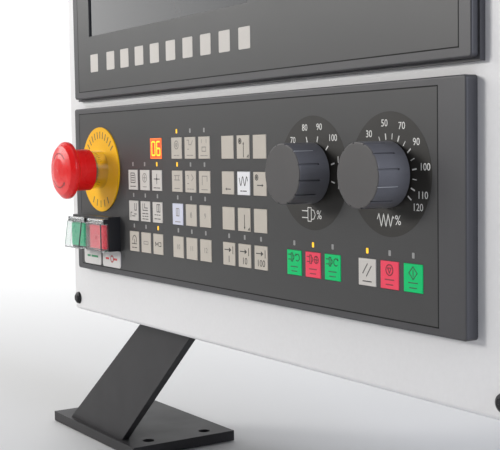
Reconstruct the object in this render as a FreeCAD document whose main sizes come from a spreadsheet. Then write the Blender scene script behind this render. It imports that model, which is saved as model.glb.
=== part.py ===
import FreeCAD, Part
import Sketcher
import math
import os
import re

# An operator's control station: a sheet-metal cabinet with a key panel below a screen unit,
# carried by a slanted plate arm. The origin is the middle of the arm foot's underside, +Z is up,
# and the operator stands on the -Y side with +X to their right. All sizes are millimetres.

doc = FreeCAD.newDocument("ControlStation")
sheet = doc.addObject("Spreadsheet::Sheet", "sizes")

drivingSizes = (
    ("panel_x", 253.0, "middle of the key film, right of the foot"),
    ("panel_y", -75.0, "front face of the key panel and the screen unit"),
    ("panel_z", 205.0, "middle of the key film, above the foot"),
    ("film_wide", 387.4, "key film"),
    ("film_high", 109.6, "key film"),
    ("film_thick", 1.2, "key film and screen unit film"),
    ("film_gap", 0.3, "groove round a film"),
    ("margin_left", 8.0, "panel frame outside the groove"),
    ("margin_right", 18.2, "panel frame outside the groove"),
    ("margin_high", 3.9, "panel frame above and below the groove"),
    ("frame_thick", 6.8, "panel frame and screen unit frame"),
    ("frame_round", 1.0, "outer edges of both frames"),
    ("rim_wall", 2.0, "locating rim behind the panel frame"),
    ("rim_deep", 4.0, "locating rim behind the panel frame"),
    ("seat_gap", 0.3, "rim in the cabinet's cut-out"),
    ("lap_side", 3.7, "film beyond the cabinet's cut-out on each side"),
    ("lap_high", 3.8, "film above and below the cabinet's cut-out"),
    ("key_size", 13.5, "square key cap"),
    ("key_gap", 0.15, "cap in its window"),
    ("key_proud", 0.3, "cap in front of the film"),
    ("key_travel", 0.6, "stroke of a key"),
    ("key_lip", 0.9, "retaining flange round a cap, beyond its side"),
    ("lip_thick", 0.8, "retaining flange of a cap"),
    ("key_round", 0.35, "front edges of a cap"),
    ("play_gap", 0.3, "parts that move past each other"),
    ("pitch_x", 17.04, "key columns"),
    ("pitch_z", 20.88, "key rows"),
    ("first_row", 28.97, "middle of the top key row above the film's middle"),
    ("program_x", -108.27, "first column of the program keys"),
    ("function_x", -47.09, "first column of the function keys"),
    ("jog_x", 13.91, "first column of the jog keys"),
    ("spindle_keys", 80.55, "first spindle key"),
    ("cycle_keys", 142.82, "first cycle key"),
    ("board_x", 31.0, "middle of the circuit board from the film's middle"),
    ("board_wide", 310.0, "circuit board"),
    ("board_high", 94.0, "circuit board"),
    ("board_thick", 1.6, "circuit board"),
    ("board_edge", 2.8, "board posts in from the board's edge"),
    ("post_radius", 2.5, "board posts"),
    ("contact_size", 6.0, "square contact under a key"),
    ("contact_high", 1.2, "contact under a key"),
    ("digits_back", 0.4, "digit display behind the film face"),
    ("connector_wide", 48.0, "plug connectors on the board"),
    ("connector_high", 12.0, "plug connectors on the board"),
    ("connector_deep", 9.0, "plug connectors on the board"),
    ("dial_z", 14.7, "height of the stop button and both dials above the film's middle"),
    ("spindle_x", 98.05, "spindle dial"),
    ("feed_x", 160.1, "feed dial"),
    ("knob_radius", 16.0, "override knob at its base"),
    ("knob_front", 15.8, "override knob radius at its front"),
    ("knob_long", 18.6, "override knob"),
    ("knob_lift", 1.0, "knob off the film"),
    ("knob_round", 0.7, "front edge of a knob"),
    ("recess_radius", 11.0, "hollow in the back of a knob"),
    ("recess_deep", 6.0, "hollow in the back of a knob"),
    ("slot_count", 12, "grip slots in a knob"),
    ("slot_wide", 0.9, "grip slot"),
    ("slot_deep", 0.7, "grip slot"),
    ("slot_long", 12.5, "grip slot"),
    ("spindle_turn", 12.0, "spindle knob's mark, clockwise of upright"),
    ("feed_turn", 20.0, "feed knob's mark, clockwise of upright"),
    ("shaft_radius", 3.0, "knob shaft"),
    ("shaft_long", 12.0, "knob shaft behind the film face"),
    ("running_gap", 0.06, "shaft, stem and sleeve running fits, on the radius"),
    ("encoder_size", 26.0, "square encoder case"),
    ("encoder_deep", 11.0, "encoder case"),
    ("bush_radius", 4.5, "encoder bush"),
    ("bush_gap", 0.2, "bush in its hole"),
    ("nut_radius", 8.0, "encoder nut, across corners"),
    ("nut_thick", 2.2, "encoder nut"),
    ("stop_x", -158.4, "stop button from the film's middle"),
    ("disc_radius", 30.0, "legend disc of the stop button"),
    ("disc_thick", 0.8, "legend disc of the stop button"),
    ("collar_radius", 13.5, "stop button collar"),
    ("collar_long", 16.5, "collar in front of the disc"),
    ("barrel_radius", 10.9, "threaded barrel of the collar"),
    ("barrel_long", 19.0, "barrel behind the film face"),
    ("stem_radius", 6.0, "stop button stem"),
    ("tip_radius", 4.0, "stem inside the mushroom head"),
    ("stem_deep", 21.0, "stem behind the film face"),
    ("stop_travel", 4.0, "stroke of the stop button"),
    ("sleeve_wall", 1.0, "sleeve of the mushroom head"),
    ("sleeve_start", 10.4, "sleeve's rear edge off the film"),
    ("head_radius", 20.0, "mushroom head"),
    ("head_back", 25.4, "back of the head's rim off the film"),
    ("rim_band", 2.8, "straight band of the head's rim"),
    ("rim_round", 1.2, "front edge of the head's rim"),
    ("dome_edge", 31.0, "edge of the front dome off the film"),
    ("dome_radius", 17.0, "front dome"),
    ("head_front", 33.5, "front of the head off the film"),
    ("block_size", 34.0, "square contact block"),
    ("block_deep", 28.0, "contact block"),
    ("switch_x", -159.7, "middle of the power switch"),
    ("switch_z", -30.0, "middle of the power switch"),
    ("switch_wide", 59.4, "power switch housing"),
    ("switch_high", 24.0, "power switch housing"),
    ("switch_deep", 9.0, "power switch housing off the film"),
    ("body_wide", 52.0, "power switch body behind the film"),
    ("body_high", 19.0, "power switch body behind the film"),
    ("body_deep", 22.0, "power switch body behind the film"),
    ("button_pitch", 31.0, "power buttons"),
    ("button_wide", 20.4, "power button"),
    ("button_high", 16.4, "power button"),
    ("button_front", 11.6, "power button front off the film"),
    ("button_back", 6.0, "power button's rear behind the film"),
    ("button_travel", 2.5, "stroke of a power button"),
    ("cover_wide", 25.4, "clear cover"),
    ("cover_high", 20.0, "clear cover"),
    ("cover_front", 14.4, "clear cover's front off the film"),
    ("cover_wall", 1.1, "clear cover"),
    ("cover_top", 7.9, "clear cover's top above the switch's middle"),
    ("hinge_off", 2.1, "cover hinge axis off the housing"),
    ("knuckle_radius", 1.6, "cover hinge knuckle"),
    ("pin_radius", 0.9, "cover hinge pin"),
    ("ear_thick", 1.2, "hinge ears on the housing"),
    ("ajar_angle", 8.0, "how far the left cover stands open"),
    ("label_wide", 28.4, "legend plate"),
    ("label_high", 11.8, "legend plate"),
    ("label_thick", 0.5, "legend plate"),
    ("label_round", 2.2, "legend plate corners"),
    ("label_z", -48.4, "middle of the legend plates"),
    ("case_left", 24.0, "cabinet left of the panel frame"),
    ("case_right", 23.8, "cabinet right of the panel frame"),
    ("case_bottom", 93.3, "cabinet below the film's middle"),
    ("case_top", 322.0, "cabinet above the film's middle"),
    ("case_deep", 143.0, "cabinet"),
    ("case_bend", 3.0, "outside bends of the cabinet"),
    ("sheet_thick", 2.0, "cabinet and rear cover"),
    ("rear_flange", 14.0, "cabinet's inward flange at the back"),
    ("cover_inset", 1.0, "rear cover in from the cabinet's outside"),
    ("vent_count", 8, "cooling slots in the rear cover"),
    ("vent_wide", 90.0, "cooling slot"),
    ("vent_high", 4.0, "cooling slot"),
    ("vent_pitch", 11.0, "cooling slots"),
    ("vent_z", 30.0, "lowest cooling slot above the cover's middle"),
    ("inlet_x", 120.0, "cable inlet from the film's middle"),
    ("inlet_y", 90.0, "cable inlet behind the panel face"),
    ("inlet_radius", 12.75, "cable inlet"),
    ("screw_radius", 2.5, "cabinet screws"),
    ("screw_hole", 2.75, "holes for the cabinet screws"),
    ("screw_long", 6.5, "cabinet screws under the head"),
    ("screw_head", 4.6, "cabinet screw head radius"),
    ("head_thick", 2.6, "cabinet screw head"),
    ("crown_flat", 2.53, "flat top of a screw head, radius"),
    ("crown_radius", 4.14, "screw head where its crown starts"),
    ("crown_start", 1.43, "height of a screw head where its crown starts"),
    ("screw_inset", 8.0, "cover screws in from the cabinet's outside"),
    ("frame_screw", 5.1, "panel frame screws inside the cut-out's top and bottom"),
    ("front_screw_z", 9.0, "front screws above the cabinet's bottom"),
    ("unit_x", 7.5, "screen unit from the film's middle"),
    ("unit_z", 184.6, "screen unit from the film's middle"),
    ("unit_wide", 419.0, "screen unit"),
    ("unit_high", 240.0, "screen unit"),
    ("unit_step", 1.4, "screen unit's front plate in from its rear flange"),
    ("step_back", 3.6, "depth of the screen unit's front plate"),
    ("unit_margin", 8.0, "screen unit beside the film groove"),
    ("unit_edge", 4.9, "screen unit above and below the film groove"),
    ("unit_opening", 384.0, "cabinet cut-out for the screen unit"),
    ("unit_tall", 206.0, "cabinet cut-out for the screen unit"),
    ("screen_x", -67.8, "screen from the film's middle"),
    ("screen_z", 189.0, "screen from the film's middle"),
    ("screen_wide", 211.0, "visible screen"),
    ("screen_high", 158.0, "visible screen"),
    ("screen_lap", 3.5, "screen behind the film's window edge"),
    ("screen_deep", 16.0, "screen module"),
    ("foot_wide", 150.0, "arm foot"),
    ("foot_deep", 90.0, "arm foot and top flange"),
    ("foot_thick", 8.0, "arm foot"),
    ("foot_span", 124.0, "foot bolts across"),
    ("foot_row", 50.0, "foot bolts front to back"),
    ("foot_bolt", 4.5, "foot bolt hole radius"),
    ("web_front", 4.0, "arm web behind the foot's front edge"),
    ("web_thick", 6.0, "arm web"),
    ("web_foot", 95.4, "arm web along the foot"),
    ("web_top", 73.7, "arm web along the top flange"),
    ("web_lean", 126.2, "middle of the web's top, right of the foot's middle"),
    ("lip_deep", 30.0, "stiffening lip behind the web"),
    ("lip_run", 10.2, "stiffening lip measured along the foot"),
    ("flange_wide", 150.0, "arm top flange"),
    ("flange_thick", 4.0, "arm top flange"),
    ("flange_span", 122.0, "top flange screws across"),
    ("flange_row", 64.0, "top flange screws front to back"),
)

for row, (name, number, meaning) in enumerate(drivingSizes, start=1):
    sheet.set("A%d" % row, name)
    sheet.set("B%d" % row, str(number))
    sheet.set("C%d" % row, meaning)
    sheet.setAlias("B%d" % row, name)
doc.recompute()

nodes = {}


def bound(text):
    """the expression with each size's name pointing at its cell"""
    return re.sub(r"[a-z]+(?:_[a-z]+)+", lambda found: "sizes." + found.group(0), str(text))


def amount(text):
    """the expression's number at the sheet's present values"""
    return float(sheet.evalExpression(bound(text)))


def drive(thing, prop, text):
    thing.setExpression(prop, bound(text))


def place(thing, x, y, z):
    for axis, text in zip("xyz", (x, y, z)):
        drive(thing, ".Placement.Base." + axis, text)


def onPanel(thing, x="0", y="0", z="0"):
    """puts a piece at a spot measured from the middle of the key film's face"""
    place(thing, "panel_x + %s" % x, "panel_y + %s" % y, "panel_z + %s" % z)


def turnTo(thing, axis, angle):
    thing.Placement = FreeCAD.Placement(FreeCAD.Vector(), FreeCAD.Rotation(FreeCAD.Vector(axis), angle))


def newBody(label):
    body = doc.addObject("PartDesign::Body", label)
    body.Label = label
    return body


def newSketch(body, name, role="XZ_Plane", back=None):
    """a sketch on one of the body's own planes, moved back along +Y if asked"""
    plane = [part for part in body.Origin.OriginFeatures if part.Role == role][0]
    sketch = body.newObject("Sketcher::SketchObject", name)
    sketch.AttachmentSupport = (plane, [""])
    sketch.MapMode = "FlatFace"
    if back is not None:
        drive(sketch, ".AttachmentOffset.Base.z", "-(%s)" % back)
    return sketch


def hold(sketch, kind, first, second, text):
    index = sketch.addConstraint(Sketcher.Constraint(kind, *first, *second, amount(text)))
    drive(sketch, "Constraints[%d]" % index, text)


def polygon(sketch, corners):
    """a closed outline whose corners are each held by two bound distances"""
    spots = [FreeCAD.Vector(amount(x), amount(y), 0) for x, y in corners]
    count = len(spots)
    first = sketch.GeometryCount
    for k in range(count):
        sketch.addGeometry(Part.LineSegment(spots[k], spots[(k + 1) % count]), False)
    for k in range(count):
        sketch.addConstraint(Sketcher.Constraint("Coincident", first + k, 2, first + (k + 1) % count, 1))
    for k, (x, y) in enumerate(corners):
        hold(sketch, "DistanceX", (-1, 1), (first + k, 1), x)
        hold(sketch, "DistanceY", (-1, 1), (first + k, 1), y)


def rectangle(sketch, wide, high, midX="0", midY="0"):
    left, right = ("%s %s (%s) / 2" % (midX, sign, wide) for sign in "-+")
    low, top = ("%s %s (%s) / 2" % (midY, sign, high) for sign in "-+")
    polygon(sketch, ((left, low), (right, low), (right, top), (left, top)))


def circle(sketch, radius, midX="0", midY="0"):
    centre = FreeCAD.Vector(amount(midX), amount(midY), 0)
    index = sketch.addGeometry(Part.Circle(centre, FreeCAD.Vector(0, 0, 1), amount(radius)), False)
    held = sketch.addConstraint(Sketcher.Constraint("Radius", index, amount(radius)))
    drive(sketch, "Constraints[%d]" % held, radius)
    hold(sketch, "DistanceX", (-1, 1), (index, 3), midX)
    hold(sketch, "DistanceY", (-1, 1), (index, 3), midY)


def pad(body, sketch, length, forward=False):
    """material added behind the sketch, or towards the operator"""
    feature = body.newObject("PartDesign::Pad", sketch.Name + "Pad")
    feature.Profile = sketch
    drive(feature, "Length", length)
    feature.Reversed = not forward
    sketch.Visibility = False
    return feature


def pocket(body, sketch, length, forward=False):
    """material cut away behind the sketch, or towards the operator"""
    feature = body.newObject("PartDesign::Pocket", sketch.Name + "Cut")
    feature.Profile = sketch
    drive(feature, "Length", length)
    feature.Reversed = forward
    sketch.Visibility = False
    return feature


def turned(body, corners):
    """a solid of revolution about the body's own Y axis, from radius and depth pairs"""
    sketch = newSketch(body, "profile", "XY_Plane")
    polygon(sketch, corners)
    feature = body.newObject("PartDesign::Revolution", "turn")
    feature.Profile = sketch
    feature.ReferenceAxis = (sketch, ["V_Axis"])
    feature.Angle = 360
    return feature


def roundEdges(body, radius, wanted):
    """rounds the edges whose middle passes the test"""
    doc.recompute()
    tip = body.Tip
    names = []
    for k, edge in enumerate(tip.Shape.Edges, start=1):
        if wanted(edge):
            names.append("Edge%d" % k)
    feature = body.newObject("PartDesign::Fillet", "rounding")
    feature.Base = (tip, names)
    drive(feature, "Radius", radius)
    return feature


def atDepth(depth, outside=None):
    """a test for edges that lie in the plane at this depth, and outside a radius if one is given"""

    def test(edge):
        box = edge.BoundBox
        flat = abs(box.YMin - depth) < 1e-4 and abs(box.YMax - depth) < 1e-4
        return flat and (outside is None or box.XMax > outside)

    return test


def alongDepth(edge):
    """a test for straight edges that run front to back"""
    box = edge.BoundBox
    return box.YLength > 1e-3 and box.XLength < 1e-4 and box.ZLength < 1e-4


def box(label, wide, deep, high, x, y, z):
    """a block centred on x and z whose front lies at y, measured on the panel"""
    block = doc.addObject("Part::Box", label)
    drive(block, "Length", wide)
    drive(block, "Width", deep)
    drive(block, "Height", high)
    onPanel(block, "(%s) - (%s) / 2" % (x, wide), "(%s)" % y, "(%s) - (%s) / 2" % (z, high))
    return block


def rod(label, radius, long, x, y, z):
    """a cylinder along +Y whose front lies at y, measured on the panel"""
    cylinder = doc.addObject("Part::Cylinder", label)
    drive(cylinder, "Radius", radius)
    drive(cylinder, "Height", long)
    turnTo(cylinder, (1, 0, 0), -90)
    onPanel(cylinder, "(%s)" % x, "(%s)" % y, "(%s)" % z)
    return cylinder


def standing(label, radius, high, x, y, z):
    """an upright cylinder placed from the foot's middle"""
    cylinder = doc.addObject("Part::Cylinder", label)
    drive(cylinder, "Radius", radius)
    drive(cylinder, "Height", high)
    place(cylinder, x, y, z)
    return cylinder


def cut(label, base, tools):
    """the base with every tool taken out of it"""
    together = doc.addObject("Part::Compound", label + "Tools")
    together.Links = tools
    result = doc.addObject("Part::Cut", label)
    result.Base = base
    result.Tool = together
    result.Label = label
    return result


def joined(label, pieces):
    result = doc.addObject("Part::MultiFuse", label)
    result.Shapes = pieces
    result.Label = label
    return result


def grouped(label, pieces):
    result = doc.addObject("Part::Compound", label)
    result.Links = pieces
    result.Label = label
    return result


# Key flange, then the stroke and a gap, then the contact, then the board.
keyBack = "(frame_thick + play_gap + lip_thick)"
contactFront = "(%s + key_travel + play_gap)" % keyBack
boardFront = "(%s + contact_high)" % contactFront

# The power buttons sit in the middle of their covers, which hang from pins in front of the housing.
buttonZ = "(switch_z + cover_top - cover_high / 2)"
hingeDepth = "(switch_deep + hinge_off)"
hingeHeight = "(switch_z + cover_top + knuckle_radius - cover_wall / 2)"

# The cabinet's outside, with its middle measured from the film's middle.
leftSide = "(film_wide / 2 + film_gap + margin_left + case_left)"
rightSide = "(film_wide / 2 + film_gap + margin_right + case_right)"
caseWide = "(%s + %s)" % (leftSide, rightSide)
caseHigh = "(case_top + case_bottom)"
caseX = "(%s - %s) / 2" % (rightSide, leftSide)
caseZ = "(case_top - case_bottom) / 2"
caseFloor = "panel_z - case_bottom"
openingWide = "(film_wide - 2 * lap_side)"
openingHigh = "(film_high - 2 * lap_high)"

# Where every key stands: name, first column, column, row.
def keyBlock(label, firstColumn, rows):
    """three columns of numbered keys, counted row by row"""
    spots = [(c, r) for r in rows for c in range(3)]
    return [("%s_%d" % (label, k), firstColumn, c, r) for k, (c, r) in enumerate(spots, start=1)]


programKeys = keyBlock("program_key", "program_x", (1, 2, 3))
functionKeys = keyBlock("function_key", "function_x", (0, 1, 2, 3))
jogKeys = [
    ("jog_up_key", "jog_x", 1, 0),
    ("jog_left_key", "jog_x", 0, 1),
    ("rapid_key", "jog_x", 1, 1),
    ("jog_right_key", "jog_x", 2, 1),
    ("jog_down_key", "jog_x", 1, 2),
    ("step_fine_key", "jog_x", 0, 3),
    ("step_middle_key", "jog_x", 1, 3),
    ("step_coarse_key", "jog_x", 2, 3),
]
spindleKeys = [
    ("spindle_left_key", "spindle_keys", 0, 3),
    ("spindle_stop_key", "spindle_keys", 1, 3),
    ("spindle_right_key", "spindle_keys", 2, 3),
]
cycleKeys = [
    ("reset_key", "cycle_keys", 0, 3),
    ("cycle_stop_key", "cycle_keys", 1, 3),
    ("cycle_start_key", "cycle_keys", 2, 3),
]
liveKeys = programKeys + functionKeys + jogKeys + spindleKeys + cycleKeys
blankKeys = [("blank%d%d" % (c, r), "jog_x", c, r) for c in (0, 2) for r in (0, 2)]
displaySpot = ("display", "program_x", 2, 0)


def keyX(spot):
    return "%s + %d * pitch_x" % (spot[1], spot[2])


def keyZ(spot):
    return "first_row - %d * pitch_z" % spot[3]


def keyCap(label, spot):
    """a flush cap with a retaining flange that stays behind the panel frame"""
    cap = newBody(label)
    face = newSketch(cap, "face", back="-key_proud")
    rectangle(face, "key_size", "key_size")
    pad(cap, face, "key_proud + frame_thick + play_gap + lip_thick")
    roundEdges(cap, "key_round", atDepth(-amount("key_proud")))
    lip = newSketch(cap, "lip", back="frame_thick + play_gap")
    rectangle(lip, "key_size + 2 * key_lip", "key_size + 2 * key_lip")
    pad(cap, lip, "lip_thick")
    onPanel(cap, keyX(spot), "0", keyZ(spot))
    return cap


def keyWindow(label, spot):
    side = "key_size + 2 * key_gap"
    deep = "frame_thick + 2 * film_thick"
    return box(label, side, deep, side, keyX(spot), "-film_thick", keyZ(spot))


def panelHoles(name):
    """what goes through the film and the frame: keys, display, dials, stop button and switch"""
    holes = [keyWindow(name + "Window", spot) for spot in liveKeys + blankKeys + [displaySpot]]
    deep = "frame_thick + 2 * film_thick"
    for dial in ("spindle_x", "feed_x"):
        holes.append(rod(name + "Bush", "bush_radius + bush_gap", deep, dial, "-film_thick", "dial_z"))
    holes.append(rod(name + "Barrel", "barrel_radius + bush_gap", deep, "stop_x", "-film_thick", "dial_z"))
    wide, high = "body_wide + 2 * bush_gap", "body_high + 2 * bush_gap"
    holes.append(box(name + "Switch", wide, deep, high, "switch_x", "-film_thick", buttonZ))
    return holes


def frameScrewSpots():
    """the panel frame's and the screen unit's screws, from the film's middle"""
    left = "-(film_wide / 2 + film_gap + margin_left / 2)"
    right = "film_wide / 2 + film_gap + margin_right / 2"
    spots = [(x, "%s (%s / 2 - frame_screw)" % (sign, openingHigh)) for x in (left, right) for sign in "-+"]
    unitSide = "(unit_wide / 2 + unit_opening / 2) / 2"
    unitTop = "(unit_high / 2 - unit_edge - unit_step - screw_head)"
    for across in "-+":
        for up in "-+":
            spots.append(("unit_x %s %s" % (across, unitSide), "unit_z %s %s" % (up, unitTop)))
    return spots


def screwPits(name, spots):
    """blind holes for the screws, open at a frame's back"""
    pits = []
    for x, z in spots:
        long = "screw_long - sheet_thick + seat_gap"
        front = "frame_thick - (%s)" % long
        pits.append(rod(name, "screw_hole", long, x, front, z))
    return pits


def makePanelFrame():
    slab = newBody("frameSlab")
    outline = newSketch(slab, "outline")
    wide = "film_wide + 2 * film_gap + margin_left + margin_right"
    high = "film_high + 2 * film_gap + 2 * margin_high"
    rectangle(outline, wide, high, "(margin_right - margin_left) / 2")
    pad(slab, outline, "frame_thick")
    doc.recompute()
    roundEdges(slab, "2 * frame_round", alongDepth)
    roundEdges(slab, "frame_round", atDepth(0.0))
    recess = newSketch(slab, "recess")
    rectangle(recess, "film_wide + 2 * film_gap", "film_high + 2 * film_gap")
    pocket(slab, recess, "film_thick")
    rim = newSketch(slab, "rim", back="frame_thick")
    outerWide, outerHigh = openingWide + " - 2 * seat_gap", openingHigh + " - 2 * seat_gap"
    rectangle(rim, outerWide, outerHigh)
    rectangle(rim, outerWide + " - 2 * rim_wall", outerHigh + " - 2 * rim_wall")
    pad(slab, rim, "rim_deep")
    posts = newSketch(slab, "posts", back="frame_thick")
    across, up = "(board_wide / 2 - board_edge)", "(board_high / 2 - board_edge)"
    for left in "-+":
        for low in "-+":
            circle(posts, "post_radius", "board_x %s %s" % (left, across), "0 %s %s" % (low, up))
    pad(slab, posts, boardFront + " - frame_thick")
    onPanel(slab)
    pits = screwPits("framePit", frameScrewSpots()[:4])
    nodes["panel_frame"] = cut("panel_frame", slab, panelHoles("frame") + pits)


def makePanelFilm():
    blank = box("filmBlank", "film_wide", "film_thick", "film_high", "0", "0", "0")
    nodes["panel_film"] = cut("panel_film", blank, panelHoles("film"))


def makeCircuitBoard():
    blank = box("boardBlank", "board_wide", "board_thick", "board_high", "board_x", boardFront, "0")
    side = "encoder_size + 2 * seat_gap"
    front = boardFront + " - board_thick"
    gaps = []
    for dial in ("spindle_x", "feed_x"):
        gaps.append(box("encoderGap", side, "3 * board_thick", side, dial, front, "dial_z"))
    board = cut("boardPlate", blank, gaps)
    pieces = [board]
    side = "contact_size"
    for spot in liveKeys:
        pieces.append(box("contact", side, "contact_high", side, keyX(spot), contactFront, keyZ(spot)))
    deep = boardFront + " - digits_back"
    x, z = keyX(displaySpot), keyZ(displaySpot)
    pieces.append(box("digits", "key_size", deep, "key_size", x, "digits_back", z))
    behind = boardFront + " + board_thick"
    for side in (-1, 0, 1):
        x = "board_x + %d * board_wide / 3" % side
        z = "connector_high - board_high / 2"
        pieces.append(box("connector", "connector_wide", "connector_deep", "connector_high", x, behind, z))
    nodes["circuit_board"] = joined("circuit_board", pieces)


def makeEncoders():
    cases = []
    side, front = "encoder_size", "-nut_thick - play_gap"
    for dial in ("spindle_x", "feed_x"):
        case = box("encoderCase", side, "encoder_deep", side, dial, "frame_thick", "dial_z")
        bush = rod("bush", "bush_radius", "frame_thick + nut_thick + play_gap", dial, front, "dial_z")
        nut = doc.addObject("Part::Prism", "bushNut")
        nut.Polygon = 6
        drive(nut, "Circumradius", "nut_radius")
        drive(nut, "Height", "nut_thick")
        turnTo(nut, (1, 0, 0), -90)
        onPanel(nut, dial, "-nut_thick", "dial_z")
        whole = joined("encoderWhole", [case, bush, nut])
        long = "shaft_long + nut_thick + 2 * play_gap"
        bore = rod("shaftBore", "shaft_radius + running_gap", long, dial, front, "dial_z")
        cases.append(cut("encoder", whole, [bore]))
    nodes["override_encoders"] = grouped("override_encoders", cases)


def makeKnob(label, dial, angle):
    knob = newBody(label)
    front, inner = "-(knob_lift + knob_long)", "-(knob_lift + recess_deep)"
    corners = (
        ("0", front),
        ("knob_front", front),
        ("knob_radius", "-knob_lift"),
        ("recess_radius", "-knob_lift"),
        ("recess_radius", inner),
        ("shaft_radius", inner),
        ("shaft_radius", "shaft_long"),
        ("0", "shaft_long"),
    )
    turned(knob, corners)
    roundEdges(knob, "knob_round", atDepth(amount(front)))
    slot = newSketch(knob, "slot", back=front)
    rectangle(slot, "slot_wide", "2 * slot_deep", "0", "knob_front")
    first = pocket(knob, slot, "slot_long")
    doc.recompute()
    around = knob.newObject("PartDesign::PolarPattern", "slots")
    around.Originals = [first]
    axis = [part for part in knob.Origin.OriginFeatures if part.Role == "Y_Axis"][0]
    around.Axis = (axis, [""])
    around.Angle = 360
    drive(around, "Occurrences", "slot_count")
    knob.Tip = around
    turnTo(knob, (0, 1, 0), angle)
    onPanel(knob, dial, "0", "dial_z")
    nodes[label] = knob


def makeStopButton():
    disc = rod("discBlank", "disc_radius", "disc_thick", "stop_x", "-disc_thick", "dial_z")
    radius = "barrel_radius + bush_gap"
    hole = rod("discHole", radius, "3 * disc_thick", "stop_x", "-2 * disc_thick", "dial_z")
    nodes["estop_disc"] = cut("estop_disc", disc, [hole])

    collar = newBody("estop_collar")
    bore = "stem_radius + running_gap"
    turned(
        collar,
        (
            (bore, "-(disc_thick + collar_long)"),
            ("collar_radius", "-(disc_thick + collar_long)"),
            ("collar_radius", "-disc_thick"),
            ("barrel_radius", "-disc_thick"),
            ("barrel_radius", "barrel_long"),
            (bore, "barrel_long"),
        ),
    )
    onPanel(collar, "stop_x", "0", "dial_z")
    nodes["estop_collar"] = collar

    shoulder = "(disc_thick + collar_long + stop_travel + play_gap)"
    stem = newBody("estop_stem")
    turned(
        stem,
        (
            ("0", "-dome_edge + play_gap"),
            ("tip_radius", "-dome_edge + play_gap"),
            ("tip_radius", "-%s + play_gap" % shoulder),
            ("stem_radius", "-%s + play_gap" % shoulder),
            ("stem_radius", "stem_deep"),
            ("0", "stem_deep"),
        ),
    )
    onPanel(stem, "stop_x", "0", "dial_z")
    nodes["estop_stem"] = stem

    head = newBody("estop_head")
    sleeve = "collar_radius + running_gap"
    outside = "(%s + sleeve_wall)" % sleeve
    turned(
        head,
        (
            ("0", "-head_front"),
            ("dome_radius / 2", "-head_front + (head_front - dome_edge) / 4"),
            ("dome_radius", "-dome_edge"),
            ("head_radius", "-(head_back + rim_band)"),
            ("head_radius", "-head_back"),
            (outside, "-head_back + rim_band"),
            (outside, "-sleeve_start"),
            (sleeve, "-sleeve_start"),
            (sleeve, "-" + shoulder),
            ("tip_radius + running_gap", "-" + shoulder),
            ("tip_radius + running_gap", "-dome_edge"),
            ("0", "-dome_edge"),
        ),
    )
    roundEdges(head, "rim_round", atDepth(-amount("head_back + rim_band")))
    roundEdges(head, "frame_round", atDepth(-amount("head_back")))
    onPanel(head, "stop_x", "0", "dial_z")
    nodes["estop_head"] = head

    block = box("blockBlank", "block_size", "block_deep", "block_size", "stop_x", "frame_thick", "dial_z")
    long = "barrel_long - frame_thick + seat_gap"
    barrel = rod("barrelRoom", "barrel_radius + bush_gap", long, "stop_x", "frame_thick", "dial_z")
    stemRoom = "stem_deep + stop_travel + play_gap"
    inner = rod("stemRoom", "stem_radius + play_gap", stemRoom, "stop_x", "0", "dial_z")
    nodes["estop_contact_block"] = cut("estop_contact_block", block, [barrel, inner])


def buttonX(side):
    return "switch_x %s button_pitch / 2" % side


def makeSwitchHousing():
    wide, high = "switch_wide", "switch_high"
    front = box("switchFront", wide, "switch_deep", high, "switch_x", "-switch_deep", "switch_z")
    behind = box("switchBody", "body_wide", "body_deep", "body_high", "switch_x", "0", buttonZ)
    pieces = [front, behind]
    for side in "-+":
        mid = buttonX(side)
        for edge in "-+":
            x = "%s %s (cover_wide / 2 + play_gap + ear_thick / 2)" % (mid, edge)
            deep = "hinge_off + 2 * knuckle_radius"
            y = "-%s - knuckle_radius" % hingeDepth
            pieces.append(box("ear", "ear_thick", deep, "2 * knuckle_radius", x, y, hingeHeight))
        pin = doc.addObject("Part::Cylinder", "hingePin")
        long = "cover_wide + 2 * play_gap + 2 * ear_thick"
        drive(pin, "Radius", "pin_radius")
        drive(pin, "Height", long)
        turnTo(pin, (0, 1, 0), 90)
        onPanel(pin, "%s - (%s) / 2" % (mid, long), "-" + hingeDepth, hingeHeight)
        pieces.append(pin)
    whole = joined("switchWhole", pieces)
    rooms = []
    for side in "-+":
        wide, high = "button_wide + 2 * play_gap", "button_high + 2 * play_gap"
        deep = "switch_deep + button_back + button_travel + 2 * play_gap"
        rooms.append(box("buttonRoom", wide, deep, high, buttonX(side), "-switch_deep", buttonZ))
    nodes["power_switch_housing"] = cut("power_switch_housing", whole, rooms)


def makePowerButton(label, side):
    button = newBody(label)
    face = newSketch(button, "face", back="-button_front")
    rectangle(face, "button_wide", "button_high")
    pad(button, face, "button_front + button_back")
    roundEdges(button, "frame_round", atDepth(-amount("button_front")))
    onPanel(button, buttonX(side), "0", buttonZ)
    nodes[label] = button


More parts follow.
